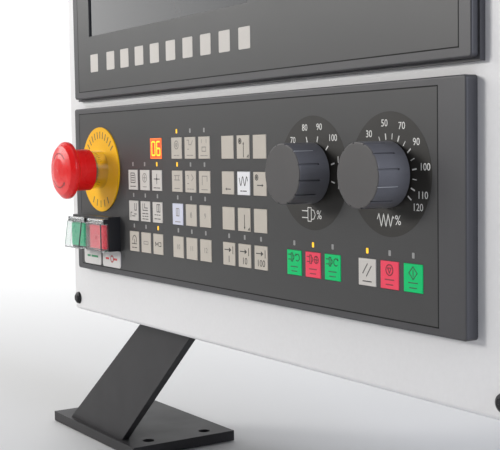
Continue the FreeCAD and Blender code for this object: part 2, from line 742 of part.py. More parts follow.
def makePowerCover(label, side, angle):
    """a clear box open at the back, hung from a knuckle on its top edge"""
    cover = newBody(label)
    rise = "(knuckle_radius - cover_wall / 2)"
    top = "-%s" % rise
    middle = "%s - cover_high / 2" % top
    reach = "(cover_front - %s)" % hingeDepth
    back = "(hinge_off - play_gap)"
    face = newSketch(cover, "face", back="-" + reach)
    rectangle(face, "cover_wide", "cover_high", "0", middle)
    pad(cover, face, "%s + %s" % (reach, back))
    doc.recompute()
    roundEdges(cover, "frame_round", atDepth(-amount(reach)))
    inside = newSketch(cover, "inside", back="cover_wall - %s" % reach)
    rectangle(inside, "cover_wide - 2 * cover_wall", "cover_high - 2 * cover_wall", "0", middle)
    pocket(cover, inside, "%s + %s" % (reach, back))
    knuckle = newSketch(cover, "knuckle", "YZ_Plane")
    circle(knuckle, "knuckle_radius")
    roll = pad(cover, knuckle, "cover_wide")
    roll.Midplane = True
    bore = newSketch(cover, "bore", "YZ_Plane")
    circle(bore, "pin_radius + running_gap")
    through = pocket(cover, bore, "2 * cover_wide")
    through.Midplane = True
    turnTo(cover, (-1, 0, 0), angle)
    onPanel(cover, buttonX(side), "-" + hingeDepth, hingeHeight)
    nodes[label] = cover


def makeLabelPlates():
    plates = []
    for side in "-+":
        plate = newBody("labelPlate")
        face = newSketch(plate, "face", back="-label_thick")
        rectangle(face, "label_wide", "label_high")
        pad(plate, face, "label_thick")
        roundEdges(plate, "label_round", alongDepth)
        onPanel(plate, buttonX(side), "0", "label_z")
        plates.append(plate)
    nodes["label_plates"] = grouped("label_plates", plates)


def coverScrewSpots():
    """the rear cover's screws, from the film's middle"""
    across = "(%s / 2 - screw_inset)" % caseWide
    up = "(%s / 2 - screw_inset)" % caseHigh
    spots = [("%s %s %s" % (caseX, a, across), "%s %s %s" % (caseZ, b, up)) for a in "-+" for b in "-+"]
    spots += [(caseX, "%s %s %s" % (caseZ, b, up)) for b in "-+"]
    spots += [("%s %s %s" % (caseX, a, across), caseZ) for a in "-+"]
    return spots


def frontScrewSpots():
    across = "(%s / 2 - screw_inset)" % caseWide
    return [("%s %s %s" % (caseX, a, across), "front_screw_z - case_bottom") for a in "-+"]


def armScrewSpots():
    """the arm's top flange screws, from the foot's middle"""
    return [("web_lean %s flange_span / 2" % a, "0 %s flange_row / 2" % b) for a in "-+" for b in "-+"]


def makeCabinet():
    shell = newBody("cabinetShell")
    outline = newSketch(shell, "outline")
    rectangle(outline, caseWide, caseHigh, caseX, caseZ)
    pad(shell, outline, "case_deep")
    roundEdges(shell, "case_bend", alongDepth)
    roundEdges(shell, "case_bend", atDepth(0.0))
    inside = newSketch(shell, "inside", back="sheet_thick")
    rectangle(inside, caseWide + " - 2 * sheet_thick", caseHigh + " - 2 * sheet_thick", caseX, caseZ)
    pocket(shell, inside, "case_deep")
    flange = newSketch(shell, "flange", back="case_deep - sheet_thick")
    rectangle(flange, caseWide + " - sheet_thick", caseHigh + " - sheet_thick", caseX, caseZ)
    rectangle(flange, caseWide + " - 2 * rear_flange", caseHigh + " - 2 * rear_flange", caseX, caseZ)
    pad(shell, flange, "sheet_thick")
    openings = newSketch(shell, "openings")
    rectangle(openings, openingWide, openingHigh)
    rectangle(openings, "unit_opening", "unit_tall", "unit_x", "unit_z")
    pocket(shell, openings, "2 * sheet_thick")
    onPanel(shell, "0", "frame_thick", "0")
    holes = []
    through = "2 * sheet_thick"
    front = "frame_thick - sheet_thick / 2"
    rear = "frame_thick + case_deep - 1.5 * sheet_thick"
    floor = caseFloor + " - sheet_thick / 2"
    for x, z in frameScrewSpots() + frontScrewSpots():
        holes.append(rod("frontHole", "screw_hole", through, x, front, z))
    for x, z in coverScrewSpots():
        holes.append(rod("rearHole", "screw_hole", through, x, rear, z))
    for x, y in armScrewSpots():
        holes.append(standing("floorHole", "screw_hole", through, x, y, floor))
    x, y = "panel_x + inlet_x", "panel_y + inlet_y"
    holes.append(standing("inlet", "inlet_radius", through, x, y, floor))
    nodes["cabinet_shell"] = cut("cabinet_shell", shell, holes)


def makeRearCover():
    plate = newBody("coverPlate")
    outline = newSketch(plate, "outline")
    rectangle(outline, caseWide + " - 2 * cover_inset", caseHigh + " - 2 * cover_inset", caseX, caseZ)
    pad(plate, outline, "sheet_thick")
    roundEdges(plate, "case_bend", alongDepth)
    vent = newSketch(plate, "vent")
    rectangle(vent, "vent_wide", "vent_high", caseX, caseZ + " + vent_z")
    first = pocket(plate, vent, "sheet_thick")
    doc.recompute()
    column = plate.newObject("PartDesign::LinearPattern", "vents")
    column.Originals = [first]
    axis = [part for part in plate.Origin.OriginFeatures if part.Role == "Z_Axis"][0]
    column.Direction = (axis, [""])
    drive(column, "Length", "(vent_count - 1) * vent_pitch")
    drive(column, "Occurrences", "vent_count")
    plate.Tip = column
    onPanel(plate, "0", "frame_thick + case_deep", "0")
    holes = []
    front = "frame_thick + case_deep - sheet_thick / 2"
    for x, z in coverScrewSpots():
        holes.append(rod("coverHole", "screw_hole", "2 * sheet_thick", x, front, z))
    nodes["rear_cover"] = cut("rear_cover", plate, holes)


def makeScrew(label):
    """a button-head screw with its shank along the body's +Y axis"""
    screw = newBody(label)
    turned(
        screw,
        (
            ("0", "-head_thick"),
            ("crown_flat", "-head_thick"),
            ("crown_radius", "-crown_start"),
            ("screw_head", "0"),
            ("screw_radius", "0"),
            ("screw_radius", "screw_long"),
            ("0", "screw_long"),
        ),
    )
    return screw


def makeScrews():
    screws = []
    for x, z in frontScrewSpots():
        screw = makeScrew("frontScrew")
        onPanel(screw, x, "frame_thick", z)
        screws.append(screw)
    for x, z in frameScrewSpots():
        screw = makeScrew("frameScrew")
        turnTo(screw, (0, 0, 1), 180)
        onPanel(screw, x, "frame_thick + sheet_thick", z)
        screws.append(screw)
    for x, z in coverScrewSpots():
        screw = makeScrew("coverScrew")
        turnTo(screw, (0, 0, 1), 180)
        onPanel(screw, x, "frame_thick + case_deep + sheet_thick", z)
        screws.append(screw)
    for x, y in armScrewSpots():
        screw = makeScrew("armScrew")
        turnTo(screw, (1, 0, 0), 90)
        place(screw, x, y, caseFloor + " - flange_thick")
        screws.append(screw)
    nodes["case_screws"] = grouped("case_screws", screws)


def makeScreenUnit():
    unit = newBody("unitSlab")
    plate = newSketch(unit, "plate")
    rectangle(plate, "unit_wide - 2 * unit_step", "unit_high - 2 * unit_step")
    pad(unit, plate, "frame_thick")
    doc.recompute()
    roundEdges(unit, "2 * frame_round", alongDepth)
    roundEdges(unit, "frame_round", atDepth(0.0))
    flange = newSketch(unit, "flange", back="step_back")
    rectangle(flange, "unit_wide", "unit_high")
    pad(unit, flange, "frame_thick - step_back")
    recess = newSketch(unit, "recess")
    filmWide = "unit_wide - 2 * unit_step - 2 * unit_margin"
    filmHigh = "unit_high - 2 * unit_step - 2 * unit_edge"
    rectangle(recess, filmWide, filmHigh)
    pocket(unit, recess, "film_thick")
    well = newSketch(unit, "well")
    wellWide, wellHigh = "screen_wide + 2 * screen_lap", "screen_high + 2 * screen_lap"
    wellX, wellZ = "screen_x - unit_x", "screen_z - unit_z"
    rectangle(well, wellWide + " + 2 * bush_gap", wellHigh + " + 2 * bush_gap", wellX, wellZ)
    pocket(unit, well, "2 * frame_thick")
    onPanel(unit, "unit_x", "0", "unit_z")
    nodes["operator_frame"] = cut("operator_frame", unit, screwPits("unitPit", frameScrewSpots()[4:]))

    wide, high = filmWide + " - 2 * film_gap", filmHigh + " - 2 * film_gap"
    film = box("unitFilm", wide, "film_thick", high, "unit_x", "0", "unit_z")
    seen = ("screen_wide", "3 * film_thick", "screen_high")
    window = box("unitWindow", *seen, "screen_x", "-film_thick", "screen_z")
    nodes["operator_film"] = cut("operator_film", film, [window])

    module = box("display_screen", wellWide, "screen_deep", wellHigh, "screen_x", "film_thick", "screen_z")
    nodes["display_screen"] = module


def makeArm():
    """foot, slanted web with a stiffening lip behind it, and the flange under the cabinet"""
    arm = newBody("armBlank")
    front = "-foot_deep / 2"
    webBack = "%s + web_front + web_thick" % front
    under = "%s - flange_thick" % caseFloor
    foot = newSketch(arm, "foot", back=front)
    rectangle(foot, "foot_wide", "foot_thick", "0", "foot_thick / 2")
    pad(arm, foot, "foot_deep")
    web = newSketch(arm, "web", back="%s + web_front" % front)
    left, right = "-web_foot / 2", "web_foot / 2"
    topLeft, topRight = "web_lean - web_top / 2", "web_lean + web_top / 2"
    polygon(web, ((left, "foot_thick"), (right, "foot_thick"), (topRight, under), (topLeft, under)))
    pad(arm, web, "web_thick")
    lip = newSketch(arm, "stiffLip", back=webBack)
    polygon(
        lip,
        (
            (left, "foot_thick"),
            (left + " + lip_run", "foot_thick"),
            (topLeft + " + lip_run", under),
            (topLeft, under),
        ),
    )
    pad(arm, lip, "lip_deep")
    flange = newSketch(arm, "topFlange", back=front)
    rectangle(flange, "flange_wide", "flange_thick", "web_lean", "%s + flange_thick / 2" % under)
    pad(arm, flange, "foot_deep")
    holes = []
    lowest = under + " - flange_thick"
    for x, y in armScrewSpots():
        holes.append(standing("flangeHole", "screw_hole", "3 * flange_thick", x, y, lowest))
    for a in "-+":
        for b in "-+":
            x, y = "0 %s foot_span / 2" % a, "0 %s foot_row / 2" % b
            holes.append(standing("footHole", "foot_bolt", "3 * foot_thick", x, y, "-foot_thick"))
    nodes["support_arm"] = cut("support_arm", arm, holes)


def makeKeys():
    for spot in liveKeys:
        nodes[spot[0]] = keyCap(spot[0], spot)
    blanks = [keyCap(spot[0], spot) for spot in blankKeys]
    nodes["blank_caps"] = grouped("blank_caps", blanks)


def checkAndWrite():
    doc.recompute()
    failed = [thing.Label for thing in doc.Objects if "Invalid" in thing.State or "Error" in thing.State]
    if failed:
        raise RuntimeError("failed to build: %s" % failed)
    for name, thing in nodes.items():
        if thing.Shape.isNull() or not thing.Shape.isValid() or not thing.Shape.Solids:
            raise RuntimeError("no sound shape: %s" % name)
    os.makedirs("parts", exist_ok=True)
    for name, thing in sorted(nodes.items()):
        thing.Shape.exportStep(os.path.join("parts", name + ".step"))
    print("nodes", len(nodes), "solids", sum(len(thing.Shape.Solids) for thing in nodes.values()))


makeArm()
makeCabinet()
makeRearCover()
makeScreenUnit()
makePanelFrame()
makePanelFilm()
makeCircuitBoard()
makeEncoders()
makeKnob("spindle_knob", "spindle_x", amount("spindle_turn"))
makeKnob("feed_knob", "feed_x", amount("feed_turn"))
makeStopButton()
makeSwitchHousing()
makePowerButton("power_on_button", "-")
makePowerButton("power_off_button", "+")
makePowerCover("power_on_cover", "-", amount("ajar_angle"))
makePowerCover("power_off_cover", "+", 0.0)
makeLabelPlates()
makeKeys()
makeScrews()
checkAndWrite()
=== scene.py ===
from math import atan2, cos, degrees, hypot, pi, radians, sin
import bpy
from mathutils import Euler, Matrix, Vector


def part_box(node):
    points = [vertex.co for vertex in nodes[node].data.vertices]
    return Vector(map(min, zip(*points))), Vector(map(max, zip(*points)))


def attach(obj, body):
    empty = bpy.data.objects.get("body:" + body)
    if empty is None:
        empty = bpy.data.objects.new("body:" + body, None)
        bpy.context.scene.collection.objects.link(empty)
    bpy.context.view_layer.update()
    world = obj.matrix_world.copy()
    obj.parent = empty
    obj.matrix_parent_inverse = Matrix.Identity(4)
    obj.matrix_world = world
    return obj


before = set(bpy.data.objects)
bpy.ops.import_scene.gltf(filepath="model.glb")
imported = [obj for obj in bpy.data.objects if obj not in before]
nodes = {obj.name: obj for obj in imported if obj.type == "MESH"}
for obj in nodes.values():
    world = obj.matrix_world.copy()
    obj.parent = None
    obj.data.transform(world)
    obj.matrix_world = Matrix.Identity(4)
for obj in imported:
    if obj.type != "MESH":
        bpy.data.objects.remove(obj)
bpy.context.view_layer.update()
print("frame loaded with", len(nodes), "nodes")

mm = 0.001
filmLow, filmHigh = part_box("panel_film")
filmMiddle = Vector(((filmLow.x + filmHigh.x) / 2, filmLow.y, (filmLow.z + filmHigh.z) / 2))


def centre(node):
    low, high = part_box(node)
    return (low + high) / 2


def frontMiddle(node):
    # the middle of the side that faces the operator
    low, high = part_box(node)
    return Vector(((low.x + high.x) / 2, low.y, (low.z + high.z) / 2))


def onFilm(x, z, proud=0.0):
    # millimetres from the middle of the key film's face, proud is towards the operator
    return filmMiddle + Vector((x, -proud, z)) * mm


# a value or colour that runs through a finish's nodes
class Signal:
    def __init__(self, finish, socket):
        self.finish, self.socket = finish, socket

    def maths(self, operation, *others):
        sockets = dict(enumerate((self, *others)))
        return self.finish.node("Math", {"operation": operation}, sockets)

    def __add__(self, other):
        return self.maths("ADD", other)

    def __sub__(self, other):
        return self.maths("SUBTRACT", other)

    def __mul__(self, other):
        return self.maths("MULTIPLY", other)

    def __truediv__(self, other):
        return self.maths("DIVIDE", other)

    def __rsub__(self, other):
        return self.finish.node("Math", {"operation": "SUBTRACT"}, {0: other, 1: self})

    def __rtruediv__(self, other):
        return self.finish.node("Math", {"operation": "DIVIDE"}, {0: other, 1: self})

    def __lt__(self, other):
        return self.maths("LESS_THAN", other)

    def __gt__(self, other):
        return self.maths("GREATER_THAN", other)

    __radd__ = __add__
    __rmul__ = __mul__

    def rise(self, low, high):
        # 0 below low, 1 above high, smooth between
        ranges = {0: self, 1: low, 2: high, 3: 0.0, 4: 1.0}
        return self.finish.node("MapRange", {"interpolation_type": "SMOOTHSTEP"}, ranges)

    def band(self, low, high, soft):
        return self.rise(low - soft, low + soft) * (1 - self.rise(high - soft, high + soft))


class Finish:
    def __init__(self, name):
        self.material = bpy.data.materials.new(name)
        self.material.use_nodes = True
        self.tree = self.material.node_tree
        self.tree.nodes.clear()
        surface = self.node("BsdfPrincipled")
        self.shader = surface.socket.node
        self.node("OutputMaterial", {}, {0: surface}, ())

    def fill(self, target, sockets):
        for name, value in sockets.items():
            if isinstance(value, Signal):
                self.tree.links.new(value.socket, target.inputs[name])
            else:
                target.inputs[name].default_value = value

    def node(self, kind, settings=None, sockets=None, output=0):
        made = self.tree.nodes.new("ShaderNode" + kind)
        for name, value in (settings or {}).items():
            setattr(made, name, value)
        self.fill(made, sockets or {})
        if isinstance(output, tuple):
            return [Signal(self, made.outputs[place]) for place in output]
        return Signal(self, made.outputs[output])

    def coordinates(self, origin=(0, 0, 0), stretch=(1, 1, 1)):
        place = self.node("TexCoord", output=3)
        shift = tuple(-o * s for o, s in zip(origin, stretch))
        return self.node("Mapping", {}, {0: place, 1: shift, 3: stretch})

    def axes(self, origin=(0, 0, 0)):
        return self.node("SeparateXYZ", {}, {0: self.coordinates(origin)}, (0, 1, 2))

    def noise(self, scale, detail=2.0, rough=0.5, stretch=(1, 1, 1)):
        place = self.coordinates(stretch=stretch)
        sockets = {"Vector": place, "Scale": scale, "Detail": detail, "Roughness": rough}
        return self.node("TexNoise", {}, sockets)

    def blend(self, mask, under, over):
        return self.node("Mix", {"data_type": "RGBA"}, {0: mask, 6: under, 7: over}, 2)

    def bright(self, colour, value):
        return self.node("HueSaturation", {}, {"Value": value, "Color": colour})

    def bump(self, height, strength, distance, under=None):
        sockets = {"Height": height, "Strength": strength, "Distance": distance}
        if under:
            sockets["Normal"] = under
        return self.node("Bump", {}, sockets)

    def shade(self, sockets):
        self.fill(self.shader, sockets)
        return self.material


def tint(colour, factor):
    return tuple(min(1.0, c * factor) for c in colour[:3]) + (1.0,)


# colour: linear, spread: how far the colour wanders, blotch and grain: scale of the two patterns,
# depth: height of the grain in millimetres, rough: roughness range, shine: specular level
keyLook = dict(blotch=60, grain=1900, depth=0.010, rough=(0.46, 0.56), shine=0.18)
inkLook = dict(spread=0.10, blotch=300, grain=3000, depth=0.004, rough=(0.5, 0.6))
mouldings = {
    "filmPrint": dict(
        colour=(0.054, 0.0535, 0.0535), spread=0.05, blotch=9, grain=2600, depth=0.012,
        rough=(0.34, 0.42), shine=0.26),
    "panelPaint": dict(
        colour=(0.053, 0.052, 0.056), spread=0.06, blotch=14, grain=1500, depth=0.016,
        rough=(0.40, 0.50), shine=0.34),
    "dialPrint": dict(
        colour=(0.024, 0.022, 0.019), spread=0.05, blotch=40, grain=2600, depth=0.010,
        rough=(0.44, 0.54), shine=0.25),
    "armPaint": dict(
        colour=(0.028, 0.027, 0.029), spread=0.10, blotch=12, grain=900, depth=0.03,
        rough=(0.42, 0.56), shine=0.30),
    "blackMoulded": dict(
        colour=(0.012, 0.012, 0.014), spread=0.12, blotch=60, grain=1800, depth=0.010, rough=(0.30, 0.42)),
    "yellowLabel": dict(
        colour=(0.92, 0.50, 0.002), spread=0.05, blotch=45, grain=1200, depth=0.008,
        rough=(0.36, 0.46), shine=0.18),
    "plateWhite": dict(
        colour=(0.62, 0.60, 0.585), spread=0.04, blotch=50, grain=1300, depth=0.010, rough=(0.34, 0.44)),
    "boardGreen": dict(
        colour=(0.018, 0.115, 0.055), spread=0.15, blotch=80, grain=700, depth=0.02, rough=(0.28, 0.40)),
    "lampDark": dict(
        colour=(0.30, 0.295, 0.29), spread=0.08, blotch=200, grain=2000, depth=0.004, rough=(0.25, 0.35)),
    # painted shade for the joint round the films
    "paintedGrooveShade": dict(
        colour=(0.012, 0.012, 0.012), spread=0.10, blotch=200, grain=2000, depth=0.004,
        rough=(0.5, 0.6), shine=0.08),
    "keyCream": dict(keyLook, colour=(0.53, 0.485, 0.425), spread=0.035, rough=(0.48, 0.58)),
    "keyPale": dict(keyLook, colour=(0.60, 0.57, 0.535), spread=0.03, rough=(0.48, 0.58)),
    "keyBright": dict(keyLook, colour=(0.80, 0.80, 0.82), spread=0.02),
    "keyCool": dict(keyLook, colour=(0.64, 0.65, 0.76), spread=0.02),
    "keyGreen": dict(keyLook, colour=(0.002, 0.56, 0.165), spread=0.05, shine=0.14),
    "keyRed": dict(keyLook, colour=(0.90, 0.070, 0.125), spread=0.05, shine=0.16),
    "inkDark": dict(inkLook, colour=(0.040, 0.036, 0.033)),
    "inkSoft": dict(inkLook, colour=(0.26, 0.24, 0.215)),
    "inkGreen": dict(inkLook, colour=(0.006, 0.11, 0.045)),
    "inkRed": dict(inkLook, colour=(0.24, 0.018, 0.032)),
    "inkWhite": dict(inkLook, colour=(0.74, 0.73, 0.70), spread=0.05),
    "indexGrey": dict(inkLook, colour=(0.30, 0.30, 0.31), spread=0.05, rough=(0.45, 0.55)),
    "inkOchre": dict(inkLook, colour=(0.13, 0.085, 0.012), rough=(0.45, 0.55)),
    "markGreen": dict(inkLook, colour=(0.020, 0.26, 0.10), spread=0.08, rough=(0.45, 0.55)),
    "markRed": dict(inkLook, colour=(0.62, 0.040, 0.045), spread=0.08, rough=(0.45, 0.55)),
}


# shared by all mouldings: how much the grain changes the brightness, and the strength of its bump
grainLook = dict(fleck=0.12, bump=0.6)


def moulded(name, colour, spread, blotch, grain, depth, rough, shine=0.5):
    finish = Finish(name)
    large = finish.noise(blotch, 3.0, 0.55)
    fine = finish.noise(grain, 1.5, 0.6)
    base = finish.blend(large, tint(colour, 1 - spread), tint(colour, 1 + spread))
    base = finish.bright(base, 1 + (fine - 0.5) * grainLook["fleck"])
    smooth = rough[0] + finish.noise(blotch * 3, 2.0) * (rough[1] - rough[0])
    normal = finish.bump(fine, grainLook["bump"], depth * mm)
    return finish.shade({
        "Base Color": base, "Roughness": smooth, "Normal": normal, "Specular IOR Level": shine})


finishes = {name: moulded(name, **values) for name, values in mouldings.items()}


# powder coat on the cabinet's sheet, with a little orange peel
cabinetLook = dict(colour=(0.735, 0.73, 0.735), peel=420, peelDepth=0.10, grain=2400, rough=0.34)


def cabinetPaint():
    finish = Finish("cabinetPaint")
    wide = finish.noise(5, 3.0, 0.5)
    peel = finish.noise(cabinetLook["peel"], 2.0, 0.45)
    grain = finish.noise(cabinetLook["grain"], 1.0)
    colour = cabinetLook["colour"]
    base = finish.blend(wide, tint(colour, 0.97), tint(colour, 1.03))
    base = finish.bright(base, 1 + (peel - 0.5) * 0.05)
    first = finish.bump(peel, 0.55, cabinetLook["peelDepth"] * mm)
    second = finish.bump(grain, 0.25, 0.01 * mm, first)
    smooth = cabinetLook["rough"] + wide * 0.10 + (grain - 0.5) * 0.06
    return finish.shade({"Base Color": base, "Roughness": smooth, "Normal": second})


finishes["cabinetPaint"] = cabinetPaint()


# turned metal with fine rings about an axis that runs front to back
ringLook = dict(colour=(0.78, 0.75, 0.68), pitch=0.22, depth=0.002, rough=0.07)


def turnedMetal(name, origin):
    finish = Finish(name)
    x, y, z = finish.axes(origin)
    radius = (x * x + z * z).maths("SQRT")
    rings = ((y + radius) * (2 * pi / (ringLook["pitch"] * mm))).maths("SINE")
    drift = finish.noise(140, 3.0)
    colour = ringLook["colour"]
    base = finish.blend(drift, tint(colour, 0.9), tint(colour, 1.08))
    normal = finish.bump(rings, 0.35, ringLook["depth"] * mm)
    smooth = ringLook["rough"] + drift * 0.10
    return finish.shade({"Base Color": base, "Metallic": 1.0, "Roughness": smooth, "Normal": normal})


finishes["turnedMetal"] = turnedMetal("turnedMetal", tuple(centre("estop_head")))
finishes["platedMetal"] = turnedMetal("platedMetal", tuple(centre("spindle_knob")))


# blackened screws, worn through here and there
screwLook = dict(black=(0.020, 0.020, 0.022, 1), bare=(0.11, 0.11, 0.115, 1), metal=0.7, rough=0.32)


def blackScrew():
    finish = Finish("blackScrew")
    drift = finish.noise(500, 3.0)
    wear = finish.noise(1400, 2.0).rise(0.58, 0.72)
    base = finish.blend(wear, screwLook["black"], screwLook["bare"])
    normal = finish.bump(drift, 0.3, 0.02 * mm)
    smooth = screwLook["rough"] + drift * 0.2
    return finish.shade({
        "Base Color": base, "Metallic": screwLook["metal"], "Roughness": smooth, "Normal": normal})


finishes["blackScrew"] = blackScrew()


# the mushroom head: gloss red with two engraved turning arrows on its dome, their grooves painted darker as
# shade
headLook = dict(
    colour=(0.80, 0.011, 0.012), arcRadius=11.9, arcWide=0.42, arcDepth=0.30,
    arcs=((-2.45, -0.70), (0.70, 2.45)), tipLong=0.24, tipWide=1.35, domeDeep=4.0,
    rough=0.24, coat=0.15, coatRough=0.10, shine=0.38)


def engravedArrow(off, angle, start, end):
    long, wide = headLook["tipLong"], headLook["arcWide"]
    shaft = angle.band(start, end - long, 0.02) * (1 - off.rise(wide * 0.7, wide * 1.2))
    along = (end - angle) / long
    tip = (along > 0.0) * (along < 1.0) * (1 - (off - along * headLook["tipWide"]).rise(-0.10, 0.12))
    return shaft.maths("MAXIMUM", tip)


def stopRed():
    finish = Finish("stopRed")
    x, y, z = finish.axes(tuple(frontMiddle("estop_head")))
    radius = (x * x + z * z).maths("SQRT") * 1000
    angle = z.maths("ARCTAN2", x)
    off = (radius - headLook["arcRadius"]).maths("ABSOLUTE")
    left, right = (engravedArrow(off, angle, *arc) for arc in headLook["arcs"])
    engravedAndShaded = left.maths("MAXIMUM", right) * (y * 1000 < headLook["domeDeep"])
    drift = finish.noise(70, 2.0)
    colour = headLook["colour"]
    base = finish.blend(drift, tint(colour, 0.94), tint(colour, 1.05))
    # painted shade: the arrows' grooves are coloured dark red
    base = finish.blend(engravedAndShaded * 0.9, base, tint(colour, 0.24))
    soft = finish.bump(finish.noise(900, 1.0), 0.12, 0.01 * mm)
    normal = finish.bump(1 - engravedAndShaded, 0.8, headLook["arcDepth"] * mm, soft)
    smooth = headLook["rough"] + drift * 0.08 + engravedAndShaded * 0.25
    return finish.shade({
        "Base Color": base, "Roughness": smooth, "Normal": normal, "Coat Weight": headLook["coat"],
        "Coat Roughness": headLook["coatRough"], "Specular IOR Level": headLook["shine"]})


finishes["stopRed"] = stopRed()


# knobs: a dark grey moulding; the front face is painted darker and warmer than the grip, partly as a second
# finish and partly as painted shade, with the lighter grip standing in for the light on the knobs' sides
knobLook = dict(
    colour=(0.094, 0.093, 0.101), cap=(0.064, 0.060, 0.060, 1), capDepth=0.35, grain=2200, depth=0.014,
    rough=0.36, shine=0.36)


def knobGrey():
    finish = Finish("knobGrey")
    drift = finish.noise(55, 3.0)
    fine = finish.noise(knobLook["grain"], 1.5)
    colour = knobLook["colour"]
    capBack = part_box("feed_knob")[0].y + knobLook["capDepth"] * mm
    x, y, z = finish.axes((0, capBack, 0))
    base = finish.blend(drift, tint(colour, 0.93), tint(colour, 1.07))
    # painted shade: the front face is coloured darker and warmer than the grip
    base = finish.blend(y < 0.0, base, knobLook["cap"])
    base = finish.bright(base, 1 + (fine - 0.5) * 0.14)
    normal = finish.bump(fine, 0.5, knobLook["depth"] * mm)
    smooth = knobLook["rough"] + drift * 0.12
    return finish.shade({
        "Base Color": base, "Roughness": smooth, "Normal": normal, "Specular IOR Level": knobLook["shine"]})


finishes["knobGrey"] = knobGrey()


# clear acrylic covers with fine scratches
coverLook = dict(
    clear=(0.97, 0.985, 0.98, 1), worn=(0.93, 0.95, 0.94, 1), through=0.96, bend=1.49, rough=0.01)


def clearPlastic():
    finish = Finish("clearPlastic")
    hair = finish.noise(260, 4.0, 0.7, (1, 1, 9))
    scratch = hair.rise(0.60, 0.70)
    normal = finish.bump(hair, 0.05, 0.01 * mm)
    smooth = coverLook["rough"] + scratch * 0.06
    base = finish.blend(scratch, coverLook["clear"], coverLook["worn"])
    return finish.shade({
        "Base Color": base, "Transmission Weight": coverLook["through"], "IOR": coverLook["bend"],
        "Roughness": smooth, "Normal": normal})


finishes["clearPlastic"] = clearPlastic()


# buttons with fine ribs; their glow is painted light that brightens their colour, not a lamp
buttonLook = dict(green=(0.020, 0.50, 0.25), red=(0.74, 0.022, 0.050), ribPitch=1.6, glow=0.32, rough=0.24)


def litButton(name, colour):
    finish = Finish(name)
    x, y, z = finish.axes()
    ribs = (x * (2 * pi / (buttonLook["ribPitch"] * mm))).maths("SINE")
    drift = finish.noise(120, 2.0)
    base = finish.blend(drift, tint(colour, 0.85), tint(colour, 1.15))
    light = finish.blend(drift, tint(colour, 0.7), tint(colour, 1.3))
    normal = finish.bump(ribs, 0.25, 0.05 * mm)
    smooth = buttonLook["rough"] + drift * 0.1
    # painted glow: the emission lifts the buttons' colour
    return finish.shade({
        "Base Color": base, "Roughness": smooth, "Normal": normal, "Emission Color": light,
        "Emission Strength": buttonLook["glow"]})


finishes["buttonGreen"] = litButton("buttonGreen", buttonLook["green"])
finishes["buttonRed"] = litButton("buttonRed", buttonLook["red"])


# lit indicator windows and the digit display: colour, glow, grain
lampLooks = {
    "lampLit": ((0.93, 0.50, 0.010), 0.75, 900),
    "digitLit": ((1.0, 0.53, 0.02), 0.95, 900),
    "digitField": ((0.80, 0.070, 0.012), 0.34, 300),
    "digitGlow": ((0.95, 0.20, 0.030), 0.40, 300),
}


def lamp(name, colour, glow, grain):
    finish = Finish(name)
    drift = finish.noise(grain, 1.0)
    light = finish.blend(drift, tint(colour, 0.88), tint(colour, 1.1))
    smooth = 0.3 + drift * 0.1
    return finish.shade({
        "Base Color": light, "Roughness": smooth, "Emission Color": light, "Emission Strength": glow})


finishes.update({name: lamp(name, *look) for name, look in lampLooks.items()})


# dark coated glass, smeared a little
glassLook = dict(dark=(0.010, 0.012, 0.016, 1), smeared=(0.018, 0.020, 0.025, 1), rough=0.07, shine=0.16)


def screenGlass():
    finish = Finish("screenGlass")
    smear = finish.noise(16, 4.0, 0.6)
    base = finish.blend(smear, glassLook["dark"], glassLook["smeared"])
    smooth = glassLook["rough"] + smear.rise(0.5, 0.8) * 0.12
    return finish.shade({"Base Color": base, "Roughness": smooth, "Specular IOR Level": glassLook["shine"]})


finishes["screenGlass"] = screenGlass()
print("finishes made:", len(finishes))


# the finish that each CAD node takes, with keyCream on the keys and caps that aren't named
nodeFinish = {
    "cabinet_shell": "cabinetPaint", "rear_cover": "cabinetPaint", "case_screws": "blackScrew",
    "operator_frame": "panelPaint", "operator_film": "filmPrint", "display_screen": "screenGlass",
    "panel_frame": "panelPaint", "panel_film": "filmPrint", "circuit_board": "boardGreen",
    "override_encoders": "platedMetal", "estop_disc": "yellowLabel", "estop_collar": "turnedMetal",
    "estop_contact_block": "blackMoulded", "power_switch_housing": "blackMoulded",
    "label_plates": "plateWhite", "support_arm": "armPaint", "estop_stem": "blackMoulded",
    "estop_head": "stopRed", "spindle_knob": "knobGrey", "feed_knob": "knobGrey",
    "power_on_cover": "clearPlastic", "power_off_cover": "clearPlastic",
    "power_on_button": "buttonGreen", "power_off_button": "buttonRed",
    "rapid_key": "keyBright", "function_key_7": "keyCool", "reset_key": "keyPale",
    "spindle_left_key": "keyGreen", "spindle_stop_key": "keyRed", "spindle_right_key": "keyGreen",
    "cycle_stop_key": "keyRed", "cycle_start_key": "keyGreen",
}
nodeFinish.update({"program_key_%d" % k: "keyPale" for k in range(1, 7)})
for name, item in nodes.items():
    item.data.materials.clear()
    item.data.materials.append(finishes[nodeFinish.get(name, "keyCream")])


def freshPiece(name):
    # an empty mesh in edit mode, with its origin at the frame's
    bpy.ops.object.select_all(action="DESELECT")
    bpy.ops.object.add(type="MESH", enter_editmode=True, location=(0, 0, 0))
    made = bpy.context.object
    made.name = made.data.name = name
    return made


def closePiece(made, finish, body, smooth=None):
    bpy.ops.mesh.select_all(action="SELECT")
    bpy.ops.mesh.normals_make_consistent(inside=False)
    bpy.ops.object.mode_set(mode="OBJECT")
    if smooth:
        bpy.ops.object.shade_smooth_by_angle(angle=radians(smooth))
    made.data.materials.clear()
    made.data.materials.append(finishes[finish])
    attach(made, body)
    return made


def pickFronts():
    # selects the faces of the edited mesh that look at the operator
    made = bpy.context.object
    bpy.ops.mesh.select_mode(type="FACE")
    bpy.ops.mesh.select_all(action="DESELECT")
    bpy.ops.object.mode_set(mode="OBJECT")
    for face in made.data.polygons:
        face.select = face.normal.y < -0.9
    bpy.ops.object.mode_set(mode="EDIT")


